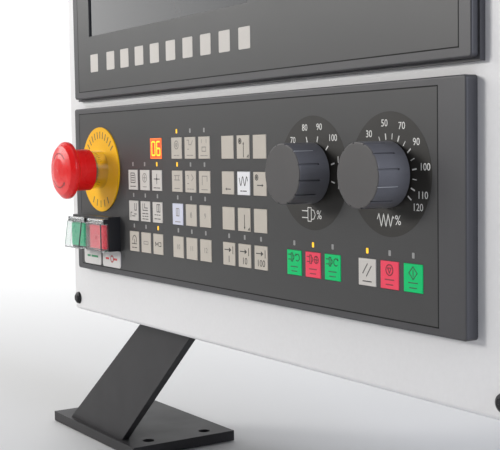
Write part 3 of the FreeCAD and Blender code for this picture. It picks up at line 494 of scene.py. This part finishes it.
def pickEdges(test):
    # selects the edges of the edited mesh whose two ends pass the test
    made = bpy.context.object
    bpy.ops.mesh.select_mode(type="EDGE")
    bpy.ops.mesh.select_all(action="DESELECT")
    bpy.ops.object.mode_set(mode="OBJECT")
    points = made.data.vertices
    for edge in made.data.edges:
        edge.select = test(*(points[k].co for k in edge.vertices))
    bpy.ops.object.mode_set(mode="EDIT")


def roundCorners(proud, corner):
    # rounds the edges that run front to back
    pickEdges(lambda a, b: abs(a.y - b.y) > 0.5 * proud * mm)
    bpy.ops.mesh.bevel(offset=corner * mm, segments=3)


def flatBlock(origin, wide, deep, high):
    # millimetres, with origin in the middle of its back
    middle = origin + Vector((0, -deep / 2, 0)) * mm
    bpy.ops.mesh.primitive_cube_add(size=1, location=middle, scale=(wide * mm, deep * mm, high * mm))


# printed marks
ink = dict(thick=0.05, line=0.45, keyLine=0.56, dialLine=0.46, overlap=0.7)


def stroke(origin, x1, z1, x2, z2, width=None, thick=None):
    wide, deep = width or ink["line"], thick or ink["thick"]
    middle = origin + Vector(((x1 + x2) / 2, -deep / 2, (z1 + z2) / 2)) * mm
    size = Vector((hypot(x2 - x1, z2 - z1) + wide * ink["overlap"], deep, wide)) * mm
    turn = (0, -atan2(z2 - z1, x2 - x1), 0)
    bpy.ops.mesh.primitive_cube_add(size=1, location=middle, rotation=turn, scale=size)


def chain(origin, points, width=None, thick=None):
    for start, end in zip(points, points[1:]):
        stroke(origin, *start, *end, width, thick)


def outline(wide, high):
    # a closed rectangle round the middle, from half its width and height
    return [(-wide, -high), (wide, -high), (wide, high), (-wide, high), (-wide, -high)]


def arcPoints(x, z, radius, start, end, steps=8):
    turns = [radians(start + (end - start) * k / steps) for k in range(steps + 1)]
    return [(x + radius * cos(t), z + radius * sin(t)) for t in turns]


def ring(x, z, radius, steps=10):
    return arcPoints(x, z, radius, 0, 360, steps)


def wedge(origin, x, z, radius, angle, sides=3):
    # a filled triangle or square, its first corner towards angle
    deep = ink["thick"]
    middle = origin + Vector((x, -deep / 2, z)) * mm
    turn = Matrix.Rotation(radians(-angle), 3, "Y") @ Matrix.Rotation(pi / 2, 3, "X")
    turn = turn @ Matrix.Rotation(-pi / 2, 3, "Z")
    bpy.ops.mesh.primitive_cylinder_add(
        vertices=sides, radius=radius * mm, depth=deep * mm, location=middle, rotation=turn.to_euler())


numberLook = dict(capShare=0.7, narrow=1.02)


def numberText(text, origin, x, z, high):
    # a number as a mesh of its own, centred on x, z
    deep = ink["thick"]
    bpy.ops.object.select_all(action="DESELECT")
    bpy.ops.object.text_add(location=(0, 0, 0))
    made = bpy.context.object
    made.data.body = text
    made.data.align_x, made.data.align_y = "CENTER", "CENTER"
    made.data.size = high / numberLook["capShare"] * mm
    made.data.extrude = deep / 2 * mm
    made.data.resolution_u = 3
    bpy.ops.object.convert(target="MESH")
    made = bpy.context.object
    made.location = origin + Vector((x, -deep / 2, z)) * mm
    made.rotation_euler = (pi / 2, 0, 0)
    made.scale = (numberLook["narrow"], 1, 1)
    bpy.ops.object.transform_apply(location=True, rotation=True, scale=True)
    return made


def joinTo(made, others):
    bpy.ops.object.select_all(action="DESELECT")
    for other in others:
        other.data.materials.clear()
        other.data.materials.append(made.data.materials[0])
        other.select_set(True)
    made.select_set(True)
    bpy.context.view_layer.objects.active = made
    bpy.ops.object.join()
    return made


# angles in degrees, counter-clockwise from the right: a number stands at zero + its key * step
dials = {
    "spindle": dict(
        knob="spindle_knob", zero=45.5, step=30, index=48.0, fine=(), percent=5.4,
        numbers={-2: "120", -1: "110", 0: "100", 1: "90", 2: "80", 3: "70", 4: "60", 5: "50"},
        icon=(
            [(-9.8, -20.0), (-4.9, -20.0)],
            [(-9.8, -23.6), (-4.9, -23.6)],
            [(-4.6, -18.2), (-1.6, -18.2), (-1.6, -25.4), (-4.6, -25.4), (-4.6, -18.2)],
            [(-1.4, -19.2), (0.7, -19.6), (1.9, -21.8), (0.7, -24.0), (-1.4, -24.4)])),
    "feed": dict(
        knob="feed_knob", zero=8.0, step=15, index=-20.0, fine=(-1, 1, 3, 5, 7, 9, 11, 13, 14, 15),
        percent=6.1,
        numbers={-3: "120", -2: "110", 0: "100", 2: "90", 4: "70", 6: "50", 8: "30", 10: "10", 12: "5"},
        icon=(
            [(-9.2, -21.6), (-8.0, -19.0), (-6.2, -25.2), (-4.5, -19.0), (-2.8, -25.2), (-1.1, -19.0),
             (0.6, -25.2), (2.2, -20.0), (3.2, -20.8)],)),
}
scale = dict(
    disc=30.0, hole=8.6, thick=0.05, tickIn=16.9, tickOut=19.4, tickWide=0.72, fineWide=0.42,
    numberRadius=24.6, longNumberPush=0.9, numberHigh=3.45, percentLow=-21.9, percentHigh=4.6)
indexLook = dict(radius=15.55, deep=0.7, wide=0.42, front=19.3, back=7.2, bevel=0.12)


def dialDisc(label, origin):
    bpy.ops.object.select_all(action="DESELECT")
    bpy.ops.mesh.primitive_circle_add(
        vertices=96, radius=scale["disc"] * mm, fill_type="NOTHING", enter_editmode=True,
        location=origin, rotation=(pi / 2, 0, 0))
    disc = bpy.context.object
    disc.name = disc.data.name = label + "DialDisc"
    bpy.ops.mesh.select_all(action="SELECT")
    bpy.ops.mesh.extrude_edges_move()
    shrink = scale["hole"] / scale["disc"]
    bpy.ops.transform.resize(value=(shrink, shrink, shrink), center_override=origin)
    bpy.ops.mesh.select_all(action="SELECT")
    bpy.ops.mesh.extrude_region_move(TRANSFORM_OT_translate={"value": (0, -scale["thick"] * mm, 0)})
    bpy.ops.object.mode_set(mode="OBJECT")
    bpy.ops.object.transform_apply(location=True, rotation=True, scale=True)
    bpy.ops.object.mode_set(mode="EDIT")
    return closePiece(disc, "dialPrint", "base", 30)


def dialScale(label, origin, look):
    printed = freshPiece(label + "DialScale")
    face = origin + Vector((0, -scale["thick"] * mm, 0))
    for step in sorted(set(look["numbers"]) | set(look["fine"])):
        turn = radians(look["zero"] + step * look["step"])
        wide = scale["fineWide"] if step in look["fine"] else scale["tickWide"]
        chain(face, [(r * cos(turn), r * sin(turn)) for r in (scale["tickIn"], scale["tickOut"])], wide)
    for points in look["icon"]:
        chain(face, points, ink["dialLine"])
    closePiece(printed, "inkWhite", "base")
    texts = []
    for step, text in look["numbers"].items():
        turn = radians(look["zero"] + step * look["step"])
        push = scale["longNumberPush"] * abs(cos(turn)) if len(text) > 2 else 0.0
        far = scale["numberRadius"] + push
        texts.append(numberText(text, face, far * cos(turn), far * sin(turn), scale["numberHigh"]))
    texts.append(numberText("%", face, look["percent"], scale["percentLow"], scale["percentHigh"]))
    return joinTo(printed, texts)


def indexLine(label, dial):
    # the filled line along the knob's side, in the slot that points at the scale
    look, radius = indexLook, indexLook["radius"]
    knob, turn = dial["knob"], radians(dial["index"])
    mark = freshPiece(label + "KnobMark")
    middle = centre(knob)
    middle.y = filmMiddle.y - (look["front"] + look["back"]) / 2 * mm
    at = middle + Vector((radius * cos(turn), 0, radius * sin(turn))) * mm
    size = Vector((look["deep"], look["front"] - look["back"], look["wide"])) * mm
    bpy.ops.mesh.primitive_cube_add(size=1, location=at, rotation=(0, -turn, 0), scale=size)
    bpy.ops.mesh.select_all(action="SELECT")
    bpy.ops.mesh.bevel(offset=look["bevel"] * mm, segments=2)
    return closePiece(mark, "indexGrey", knob, 40)


for label, look in dials.items():
    middle = centre(look["knob"])
    origin = Vector((middle.x, filmMiddle.y, middle.z))
    dialDisc(label, origin)
    dialScale(label, origin, look)
    indexLine(label, look)
print("dials done")


# a key's drawing is a list of lines, filled corners and numbers, in millimetres from the middle of its cap
def line(*points):
    return [("line", list(points))]


def corner(x, z, radius, angle, sides=3):
    return [("wedge", x, z, radius, angle, sides)]


def number(text, z, high):
    return [("number", text, 0.0, z, high)]


def arrow(x1, z1, x2, z2, head=1.0):
    turn = atan2(z2 - z1, x2 - x1)
    neck = (x2 - head * cos(turn), z2 - head * sin(turn))
    return line((x1, z1), neck) + corner(*neck, head, degrees(turn))


barGap = 1.0


def bars(z, wide, count=1):
    # a row of short bars where a word would stand
    pitch, drawn = (wide + barGap) / count, []
    for k in range(count):
        left = -wide / 2 + pitch * k
        drawn += line((left, z), (left + pitch - barGap, z))
    return drawn


def hub(x, z):
    return line(*ring(x, z, 1.5, 8)) + line(*ring(x, z, 0.5, 6))


def turnArrow(start, end, tipX, tipAngle):
    return line(*arcPoints(3.0, 2.9, 1.9, start, end)) + corner(tipX, 4.3, 0.9, tipAngle)


foldMark = line((4.2, -5.9), (5.6, -4.6), (5.6, -5.9))
wave = line(*[(-4.4 + 8.8 * k / 24, 1.3 + 2.5 * sin(2.1 * 2 * pi * k / 24 + 2.4)) for k in range(25)])
chuck = (
    line((-5.2, 4.2), (-2.7, 4.2)) + line((-5.2, 1.6), (-2.7, 1.6))
    + line((-2.7, 5.1), (-1.3, 5.1), (-1.3, 0.7), (-2.7, 0.7), (-2.7, 5.1))
    + line((-1.3, 4.3), (-0.2, 3.6), (-0.2, 2.2), (-1.3, 1.5)))
twoBars = bars(-2.2, 6.4) + bars(-4.6, 5.0)
sheetMark = line((-3.0, 4.6), (2.0, 4.6), (3.2, 3.4), (3.2, -1.8), (-3.0, -1.8), (-3.0, 4.6))
stepMark = arrow(-4.8, 2.4, 2.6, 2.4, 1.7) + line((4.3, 0.3), (4.3, 4.5))

# ink, then the drawing
keyDrawings = {
    "jog_up_key": ("inkDark", arrow(0.5, -5.8, 0.5, 3.0) + hub(-3.2, 3.4) + foldMark),
    "jog_down_key": ("inkDark", arrow(0.5, 2.8, 0.5, -5.6) + foldMark),
    "jog_left_key": ("inkDark", arrow(3.0, -3.6, -2.8, -3.6)),
    "jog_right_key": ("inkDark", arrow(-2.6, -0.8, 3.6, -0.8) + hub(-3.2, 3.6)),
    "rapid_key": ("inkDark", wave + line((-3.2, -4.4), (-1.4, -4.4)) + line((-0.6, -4.4), (3.2, -4.4))),
    "step_fine_key": ("inkDark", stepMark + number("1", -3.2, 3.9)),
    "step_middle_key": ("inkDark", stepMark + number("10", -3.2, 3.9)),
    "step_coarse_key": ("inkDark", stepMark + number("100", -3.2, 3.9)),
    "spindle_left_key": ("inkGreen", chuck + turnArrow(150, -130, 1.5, 200) + twoBars),
    "spindle_stop_key": (
        "inkRed", chuck + line(*ring(3.0, 2.9, 1.9)) + line((1.3, 2.9), (4.7, 2.9))
        + line((3.0, 1.2), (3.0, 4.6)) + twoBars),
    "spindle_right_key": ("inkGreen", chuck + turnArrow(30, 310, 4.5, -20) + twoBars),
    "reset_key": (
        "inkDark", line((-3.3, -0.6), (0.3, 4.2)) + line((-0.5, -1.9), (3.3, 3.2)) + bars(-4.5, 6.6)),
    "cycle_stop_key": (
        "inkRed", line(*ring(0, 2.5, 2.6, 14))
        + line((-1.2, 3.4), (1.2, 3.4), (0, 1.0), (-1.2, 3.4)) + twoBars),
    "cycle_start_key": (
        "inkGreen", line((0, 5.4), (2.9, 2.4), (0, -0.6), (-2.9, 2.4), (0, 5.4))
        + line((0, 1.0), (0, 3.8)) + twoBars),
    "program_key_1": (
        "inkDark", sheetMark + bars(3.0, 4.2) + bars(1.4, 4.2) + bars(-0.2, 4.2) + bars(-4.4, 7.6, 2)),
    "program_key_2": (
        "inkSoft", line(*ring(0, 1.6, 2.9, 12)) + line((-1.8, 1.6), (1.8, 1.6))
        + line((0, -0.2), (0, 3.4)) + bars(-4.4, 5.0)),
    "program_key_3": (
        "inkDark", line((-3.8, 1.0), (3.8, 1.0)) + line((0, -2.2), (0, 4.2))
        + corner(0, 1.0, 1.0, 45, 4) + bars(-4.8, 8.4, 2)),
    "program_key_4": (
        "inkDark", line((-4.2, -4.4), (-4.2, -1.2), (-2.4, -1.2))
        + line((1.6, 5.0), (1.6, 0.4), (4.2, 0.4), (4.2, 5.0)) + bars(-3.6, 4.0)
        + line((0.8, -2.2), (4.2, -2.2))),
    "program_key_5": (
        "inkDark", line((-3.4, 5.2), (-3.4, 0.8), (3.4, 0.8)) + line((-1.0, 5.2), (-1.0, 2.4), (3.4, 2.4))
        + bars(-1.4, 8.0, 2) + bars(-3.2, 8.0, 3) + bars(-5.0, 8.0, 2)),
    "program_key_6": (
        "inkDark", line((-0.6, 5.2), (-0.6, 0.4), (3.6, 0.4), (3.6, 5.2), (-0.6, 5.2))
        + line((1.5, 5.2), (1.5, 0.4)) + bars(-1.6, 7.6, 3) + bars(-4.2, 8.0, 2)),
    "program_key_7": (
        "inkDark", line(*arcPoints(0.4, 1.2, 2.8, 190, -40)) + line((-3.4, -1.6), (3.4, -1.6))
        + line((0.4, 1.2), (0.4, -1.6)) + bars(-4.2, 7.0, 2)),
    "program_key_8": (
        "inkSoft", bars(0.8, 6.0) + line((-3.0, -1.0), (3.0, -1.0))
        + line((-3.0, -1.0), (-3.0, 0.8)) + line((3.0, -1.0), (3.0, 0.8))),
    "program_key_9": (
        "inkDark", line((-3.6, -1.2), (-3.6, 1.2), (-1.6, -0.6), (0.2, 1.2), (0.2, -1.2))
        + line((1.6, 1.2), (4.0, 1.2), (4.0, -1.2), (1.6, -1.2))),
    "function_key_1": (
        "inkSoft", line(*ring(0, 2.0, 2.6)) + line(*ring(0, 2.0, 1.0, 6)) + bars(-4.6, 6.4, 2)),
    "function_key_2": (
        "inkSoft", line((-3.6, 4.8), (-1.2, 4.8), (-1.2, 2.0), (1.6, 2.0), (3.4, 4.4))
        + line((-3.0, -0.8), (-1.4, -0.8)) + bars(-4.6, 7.4, 2)),
    "function_key_3": (
        "inkSoft", line((-2.8, 5.0), (-2.8, 3.0)) + line((2.8, 5.0), (2.8, 3.0))
        + line((-2.2, 0.4), (2.2, 0.4), (2.2, -2.2), (-2.2, -2.2), (-2.2, 0.4)) + bars(-4.8, 8.0, 2)),
    "function_key_4": (
        "inkSoft", line((-3.4, 3.6), (3.4, 3.6)) + line((-3.4, 0.8), (3.4, 0.8))
        + line((-1.8, 3.6), (-1.8, 0.8)) + line((1.8, 3.6), (1.8, 0.8)) + bars(-4.6, 6.4)),
    "function_key_5": (
        "inkSoft", line((-4.2, 3.8), (-2.6, 3.8), (-2.6, 1.8)) + line((1.4, 4.4), (3.6, 2.2), (1.4, 0.6))
        + line((-3.8, -1.2), (-2.0, -1.2)) + bars(-4.6, 8.0, 3)),
    "function_key_6": ("inkSoft", line((-2.6, -1.6), (-2.6, 3.6), (3.2, 3.6), (3.2, 0.6)) + bars(-4.6, 7.0)),
    "function_key_7": (
        "inkSoft", line((-1.8, 3.6), (1.8, 3.6), (1.8, -1.0), (-1.8, -1.0), (-1.8, 3.6))
        + line((0, 3.6), (0, -1.0)) + bars(-4.8, 6.6)),
    "function_key_8": ("inkSoft", number("8", 0.0, 3.4)),
    "function_key_9": ("inkSoft", number("9", 0.0, 3.4)),
}
keyDrawings.update({"function_key_%d" % k: ("inkSoft", number(str(k), 0.0, 3.2)) for k in range(10, 13)})


def keyMark(node, inkName, drawing):
    origin = frontMiddle(node)
    mark = freshPiece(node + "_mark")
    numbers = []
    for kind, *values in drawing:
        if kind == "line":
            chain(origin, *values, ink["keyLine"])
        elif kind == "wedge":
            wedge(origin, *values)
        else:
            numbers.append(values)
    closePiece(mark, inkName, node)
    texts = [numberText(text, origin, x, z, high) for text, x, z, high in numbers]
    return joinTo(mark, texts) if texts else mark


for node, (inkName, drawing) in keyDrawings.items():
    keyMark(node, inkName, drawing)
print("key marks done:", len(keyDrawings))


lampLook = dict(wide=1.75, high=2.7, above=3.0, proud=0.06, corner=0.35)
lampKeys = ["program_key_%d" % k for k in range(1, 10)] + ["function_key_%d" % k for k in range(1, 13)]
lampKeys += ["step_fine_key", "step_middle_key", "step_coarse_key", "spindle_left_key", "spindle_stop_key",
             "spindle_right_key", "reset_key", "cycle_stop_key", "cycle_start_key"]
litKeys = {
    "program_key_3", "program_key_9", "function_key_1", "function_key_4", "spindle_stop_key", "reset_key"}


def indicatorWindows(name, keys, finish):
    made = freshPiece(name)
    for node in keys:
        low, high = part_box(node)
        at = Vector(((low.x + high.x) / 2, filmMiddle.y, high.z + lampLook["above"] * mm))
        flatBlock(at, lampLook["wide"], lampLook["proud"], lampLook["high"])
    roundCorners(lampLook["proud"], lampLook["corner"])
    return closePiece(made, finish, "base", 40)


indicatorWindows("indicatorsLit", sorted(litKeys), "lampLit")
indicatorWindows("indicatorsDark", [k for k in lampKeys if k not in litKeys], "lampDark")
print("indicators done")


# two digits on a lit field that lies on the film
digitLook = dict(
    x=-74.8, z=28.97, wide=15.6, high=13.4, proud=0.05, fieldThick=0.1, lip=0.5, lipDeep=0.03, border=0.9,
    digitWide=4.3, digitHigh=8.8, line=1.15, lineThick=0.06, run=0.80, pitch=6.7)
segments = {"0": "abcdef", "6": "acdefg"}
segmentEnds = {
    "a": (-1, 1, 1, 1), "b": (1, 1, 1, 0), "c": (1, 0, 1, -1), "d": (1, -1, -1, -1),
    "e": (-1, -1, -1, 0), "f": (-1, 0, -1, 1), "g": (-1, 0, 1, 0)}


def digitDisplay():
    look = digitLook
    field = freshPiece("digitField")
    at = onFilm(look["x"], look["z"], look["proud"] - look["fieldThick"] / 2)
    flatBlock(at, look["wide"], look["fieldThick"], look["high"])
    pickFronts()
    bpy.ops.mesh.inset(thickness=look["lip"] * mm, depth=0)
    bpy.ops.transform.translate(value=(0, look["lipDeep"] * mm, 0))
    closePiece(field, "digitField", "base")
    face = onFilm(look["x"], look["z"], look["proud"] + look["fieldThick"] / 2)
    rim = freshPiece("digitRim")
    border = look["border"]
    chain(face, outline((look["wide"] - border) / 2, (look["high"] - border) / 2), border)
    closePiece(rim, "digitGlow", "base")
    lit = freshPiece("digitSegments")
    halfWide, halfHigh, short = look["digitWide"] / 2, look["digitHigh"] / 2, (1 - look["run"]) / 2
    for side, digit in zip((-0.5, 0.5), "06"):
        for key in segments[digit]:
            x1, z1, x2, z2 = segmentEnds[key]
            dx, dz = (x2 - x1) * short, (z2 - z1) * short
            start = (side * look["pitch"] + (x1 + dx) * halfWide, (z1 + dz) * halfHigh)
            end = (side * look["pitch"] + (x2 - dx) * halfWide, (z2 - dz) * halfHigh)
            stroke(face, *start, *end, look["line"], look["lineThick"])
    return closePiece(lit, "digitLit", "base")


digitDisplay()
print("digits done")


# ticks round the stop button's disc: first and last angle and step in degrees
discLook = dict(ringIn=22.4, ringOut=26.6, wide=1.0, arcs=((38, 142, 10), (-118, -62, 14)))


def discTicks():
    origin = frontMiddle("estop_disc")
    made = freshPiece("stopDiscTicks")
    for first, last, step in discLook["arcs"]:
        for turn in map(radians, range(first, last + 1, step)):
            ends = [(r * cos(turn), r * sin(turn)) for r in (discLook["ringIn"], discLook["ringOut"])]
            chain(origin, ends, discLook["wide"])
    return closePiece(made, "inkOchre", "base")


discTicks()
print("stop button done")


labelLook = dict(wide=17.0, line=1.5, dash=4.2, gap=2.8, ringAt=1.0, ringRadius=2.2, ringLine=0.9, tail=4.6)


def labelMarks():
    # a broken bar under the green button, and a bar with a ring under the red one
    look, plates = labelLook, frontMiddle("label_plates")
    wide = look["wide"] / 2
    for node, finish in (("power_on_button", "markGreen"), ("power_off_button", "markRed")):
        origin = Vector((centre(node).x, plates.y, plates.z))
        made = freshPiece("labelMark" + finish[4:])
        stroke(origin, -wide, 0.0, look["dash"] - wide, 0.0, look["line"])
        if finish == "markGreen":
            stroke(origin, look["dash"] + look["gap"] - wide, 0.0, wide, 0.0, look["line"])
        else:
            chain(origin, ring(look["ringAt"], 0.0, look["ringRadius"], 12), look["ringLine"])
            stroke(origin, wide - look["tail"], 0.0, wide, 0.0, look["line"])
        closePiece(made, finish, "base")


labelMarks()
print("power switch done")


grooveShadeLook = dict(wide=0.62, thick=0.03, out=0.15)


def shadowGap(name, node):
    # painted shade round a film: a dark strip along the joint between film and frame
    low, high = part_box(node)
    made = freshPiece(name)
    out = grooveShadeLook["out"]
    corners = outline((high.x - low.x) / 2 / mm + out, (high.z - low.z) / 2 / mm + out)
    chain(frontMiddle(node), corners, grooveShadeLook["wide"], grooveShadeLook["thick"])
    return closePiece(made, "paintedGrooveShade", "base")


shadowGap("keyFilmShadeStrip", "panel_film")
shadowGap("screenFilmShadeStrip", "operator_film")
print("shadow gaps done")


# millimetres from the middle of the key film: the row of fields under the screen, and the pad beside it
softKeys = dict(first=-171.4, second=-145.0, pitch=21.6, count=9, wide=12.2, high=12.5, bottom=84.4)
padKeys = dict(left=62.0, top=272.0, columns=5, rows=7, pitch=23.0, size=13.5)
fieldLook = dict(proud=0.12, corner=0.8, rim=0.25)


def lightFields(name, fields, finish):
    # raised membrane fields of the one-piece film
    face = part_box("operator_film")[0].y
    made = freshPiece(name)
    for x, z, wide, high in fields:
        at = Vector((filmMiddle.x + x * mm, face, filmMiddle.z + z * mm))
        flatBlock(at, wide, fieldLook["proud"], high)
    roundCorners(fieldLook["proud"], fieldLook["corner"])
    pickFronts()
    bpy.ops.mesh.inset(thickness=fieldLook["rim"] * mm, depth=0, use_individual=True)
    return closePiece(made, finish, "base", 30)


def softKeyRow():
    wide, high = softKeys["wide"], softKeys["high"]
    lefts = [softKeys["first"]]
    lefts += [softKeys["second"] + softKeys["pitch"] * k for k in range(softKeys["count"])]
    fields = [(left + wide / 2, softKeys["bottom"] + high / 2, wide, high) for left in lefts]
    return lightFields("softKeys", fields, "keyPale")


def padPlaces():
    # column, row, x and z of every pad key
    look = padKeys
    places = [(c, r) for c in range(look["columns"]) for r in range(look["rows"])]
    return [(c, r, look["left"] + look["pitch"] * c, look["top"] - look["pitch"] * r) for c, r in places]


padArrows = {(2, 5): (0, 1), (1, 6): (-1, 0), (3, 6): (1, 0), (2, 6): (0, -1)}
padLook = dict(
    tail=3.4, neck=1.8, head=2.4, headSize=1.8, line=0.6, thin=0.45, digit=4.4,
    squareWide=2.4, squareHigh=2.2, bar=2.8, ring=2.4)


def padMarks():
    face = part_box("operator_film")[0].y - fieldLook["proud"] * mm
    base = Vector((filmMiddle.x, face, filmMiddle.z))
    look, thin, bar = padLook, padLook["thin"], padLook["bar"]
    wide, high = look["squareWide"], look["squareHigh"]
    square = [(-wide, -high), (-wide, high), (wide, high), (wide, -high), (-wide, -high)]
    made = freshPiece("padMarks")
    digits = []
    for c, r, x, z in padPlaces():
        if 1 <= r <= 3 and 1 <= c <= 3:
            digits.append((str(7 - 3 * (r - 1) + (c - 1)), x, z))
        elif (c, r) == (2, 4):
            digits.append(("0", x, z))
        elif (c, r) in padArrows:
            dx, dz = padArrows[c, r]
            tail, neck, head = (look[part] for part in ("tail", "neck", "head"))
            stroke(base, x - tail * dx, z - tail * dz, x + neck * dx, z + neck * dz, look["line"])
            wedge(base, x + head * dx, z + head * dz, look["headSize"], degrees(atan2(dz, dx)))
        elif (r + c) % 3 == 0:
            chain(base, [(x + p, z + q) for p, q in square], thin)
        elif (r + c) % 3 == 1:
            stroke(base, x - bar, z, x + bar, z, look["line"])
        else:
            chain(base, [(x + p, z + q) for p, q in ring(0, 0, look["ring"], 12)], thin)
    closePiece(made, "inkDark", "base")
    return joinTo(made, [numberText(text, base, x, z, look["digit"]) for text, x, z in digits])


softKeyRow()
lightFields("padKeys", [(x, z, padKeys["size"], padKeys["size"]) for c, r, x, z in padPlaces()], "keyCream")
padMarks()
print("screen unit done")


roomLook = dict(
    floor=(0.62, 0.62, 0.62, 1), far=5.0, wall=4.0, bend=1.6, below=0.0005,
    world=(0.93, 0.94, 0.96, 1), worldStrength=0.12)


def farSide(a, b):
    # the floor's edges behind the object and at its left
    middle = (a + b) / 2
    return middle.z < 0.1 and (middle.x < -0.9 * roomLook["far"] or middle.y > 0.9 * roomLook["far"])


def room():
    # the floor runs up into a wall behind and at the left
    bpy.ops.object.select_all(action="DESELECT")
    bpy.ops.mesh.primitive_plane_add(
        size=2 * roomLook["far"], location=(0, 0, -roomLook["below"]), enter_editmode=True)
    floor = bpy.context.object
    floor.name = "floor"
    pickEdges(farSide)
    bpy.ops.mesh.extrude_edges_move(TRANSFORM_OT_translate={"value": (0, 0, roomLook["wall"])})
    pickEdges(farSide)
    bpy.ops.mesh.bevel(offset=roomLook["bend"], segments=16)
    bpy.ops.object.mode_set(mode="OBJECT")
    bpy.ops.object.shade_smooth_by_angle(angle=radians(60))
    finish = Finish("floorPale")
    drift = finish.noise(1.5, 3.0)
    colour = roomLook["floor"]
    base = finish.blend(drift, tint(colour, 0.985), tint(colour, 1.015))
    floor.data.materials.append(finish.shade({"Base Color": base, "Roughness": 0.55 + drift * 0.1}))
    world = bpy.data.worlds.new("studio")
    world.use_nodes = True
    world.node_tree.nodes["Background"].inputs[0].default_value = roomLook["world"]
    world.node_tree.nodes["Background"].inputs[1].default_value = roomLook["worldStrength"]
    bpy.context.scene.world = world


# places, aims and sizes in metres
white = (1.0, 1.0, 1.0)
lights = {
    "mainLight": dict(
        place=(-1.12, -2.05, 0.92), aim=(0.26, -0.08, 0.22), size=(0.50, 0.50), power=31.5,
        colour=(1.0, 0.985, 0.96)),
    "sheenPanel": dict(
        place=(-1.25, -1.00, 0.90), aim=(0.20, -0.08, 0.30), size=(0.9, 0.9), power=11,
        colour=(1.0, 0.995, 0.98)),
    "sideLight": dict(
        place=(2.95, 0.00, 1.25), aim=(0.40, -0.09, 0.22), size=(1.2, 1.2), power=74,
        colour=(0.82, 0.87, 1.0)),
    "topLight": dict(
        place=(0.25, -0.5, 1.9), aim=(0.25, -0.05, 0.2), size=(1.6, 1.2), power=6, colour=white),
    "rearLight": dict(
        place=(-0.6, 1.6, 1.3), aim=(0.25, 0.0, 0.2), size=(1.2, 1.0), power=4.5, colour=white),
    "wallLight": dict(
        place=(-1.4, 1.0, 3.2), aim=(-4.4, 3.2, 0.9), size=(2.4, 1.6), power=270, colour=white),
}


def addLights():
    for name, look in lights.items():
        data = bpy.data.lights.new(name, "AREA")
        data.shape = "RECTANGLE"
        data.size, data.size_y = look["size"]
        data.energy, data.color = look["power"], look["colour"]
        softBox = bpy.data.objects.new(name, data)
        softBox.location = look["place"]
        aim = Vector(look["aim"]) - Vector(look["place"])
        softBox.rotation_euler = aim.to_track_quat("-Z", "Y").to_euler()
        bpy.context.scene.collection.objects.link(softBox)


# place in metres, turn in degrees, lens and sensor in millimetres
view = dict(place=(0.8263, -0.4211, 0.23338), turn=(86.06437, 0.93285, 57.11404), lens=80.7, sensor=36)


def addCamera():
    data = bpy.data.cameras.new("camera")
    data.sensor_width, data.lens = view["sensor"], view["lens"]
    data.clip_start, data.clip_end = 0.02, 60
    camera = bpy.data.objects.new("camera", data)
    camera.location = view["place"]
    camera.rotation_euler = Euler([radians(angle) for angle in view["turn"]])
    bpy.context.scene.collection.objects.link(camera)
    bpy.context.scene.camera = camera


room()
addLights()
addCamera()
bpy.context.scene.view_settings.view_transform = "Standard"
print("room, lights and camera done")

bpy.ops.object.select_all(action="DESELECT")
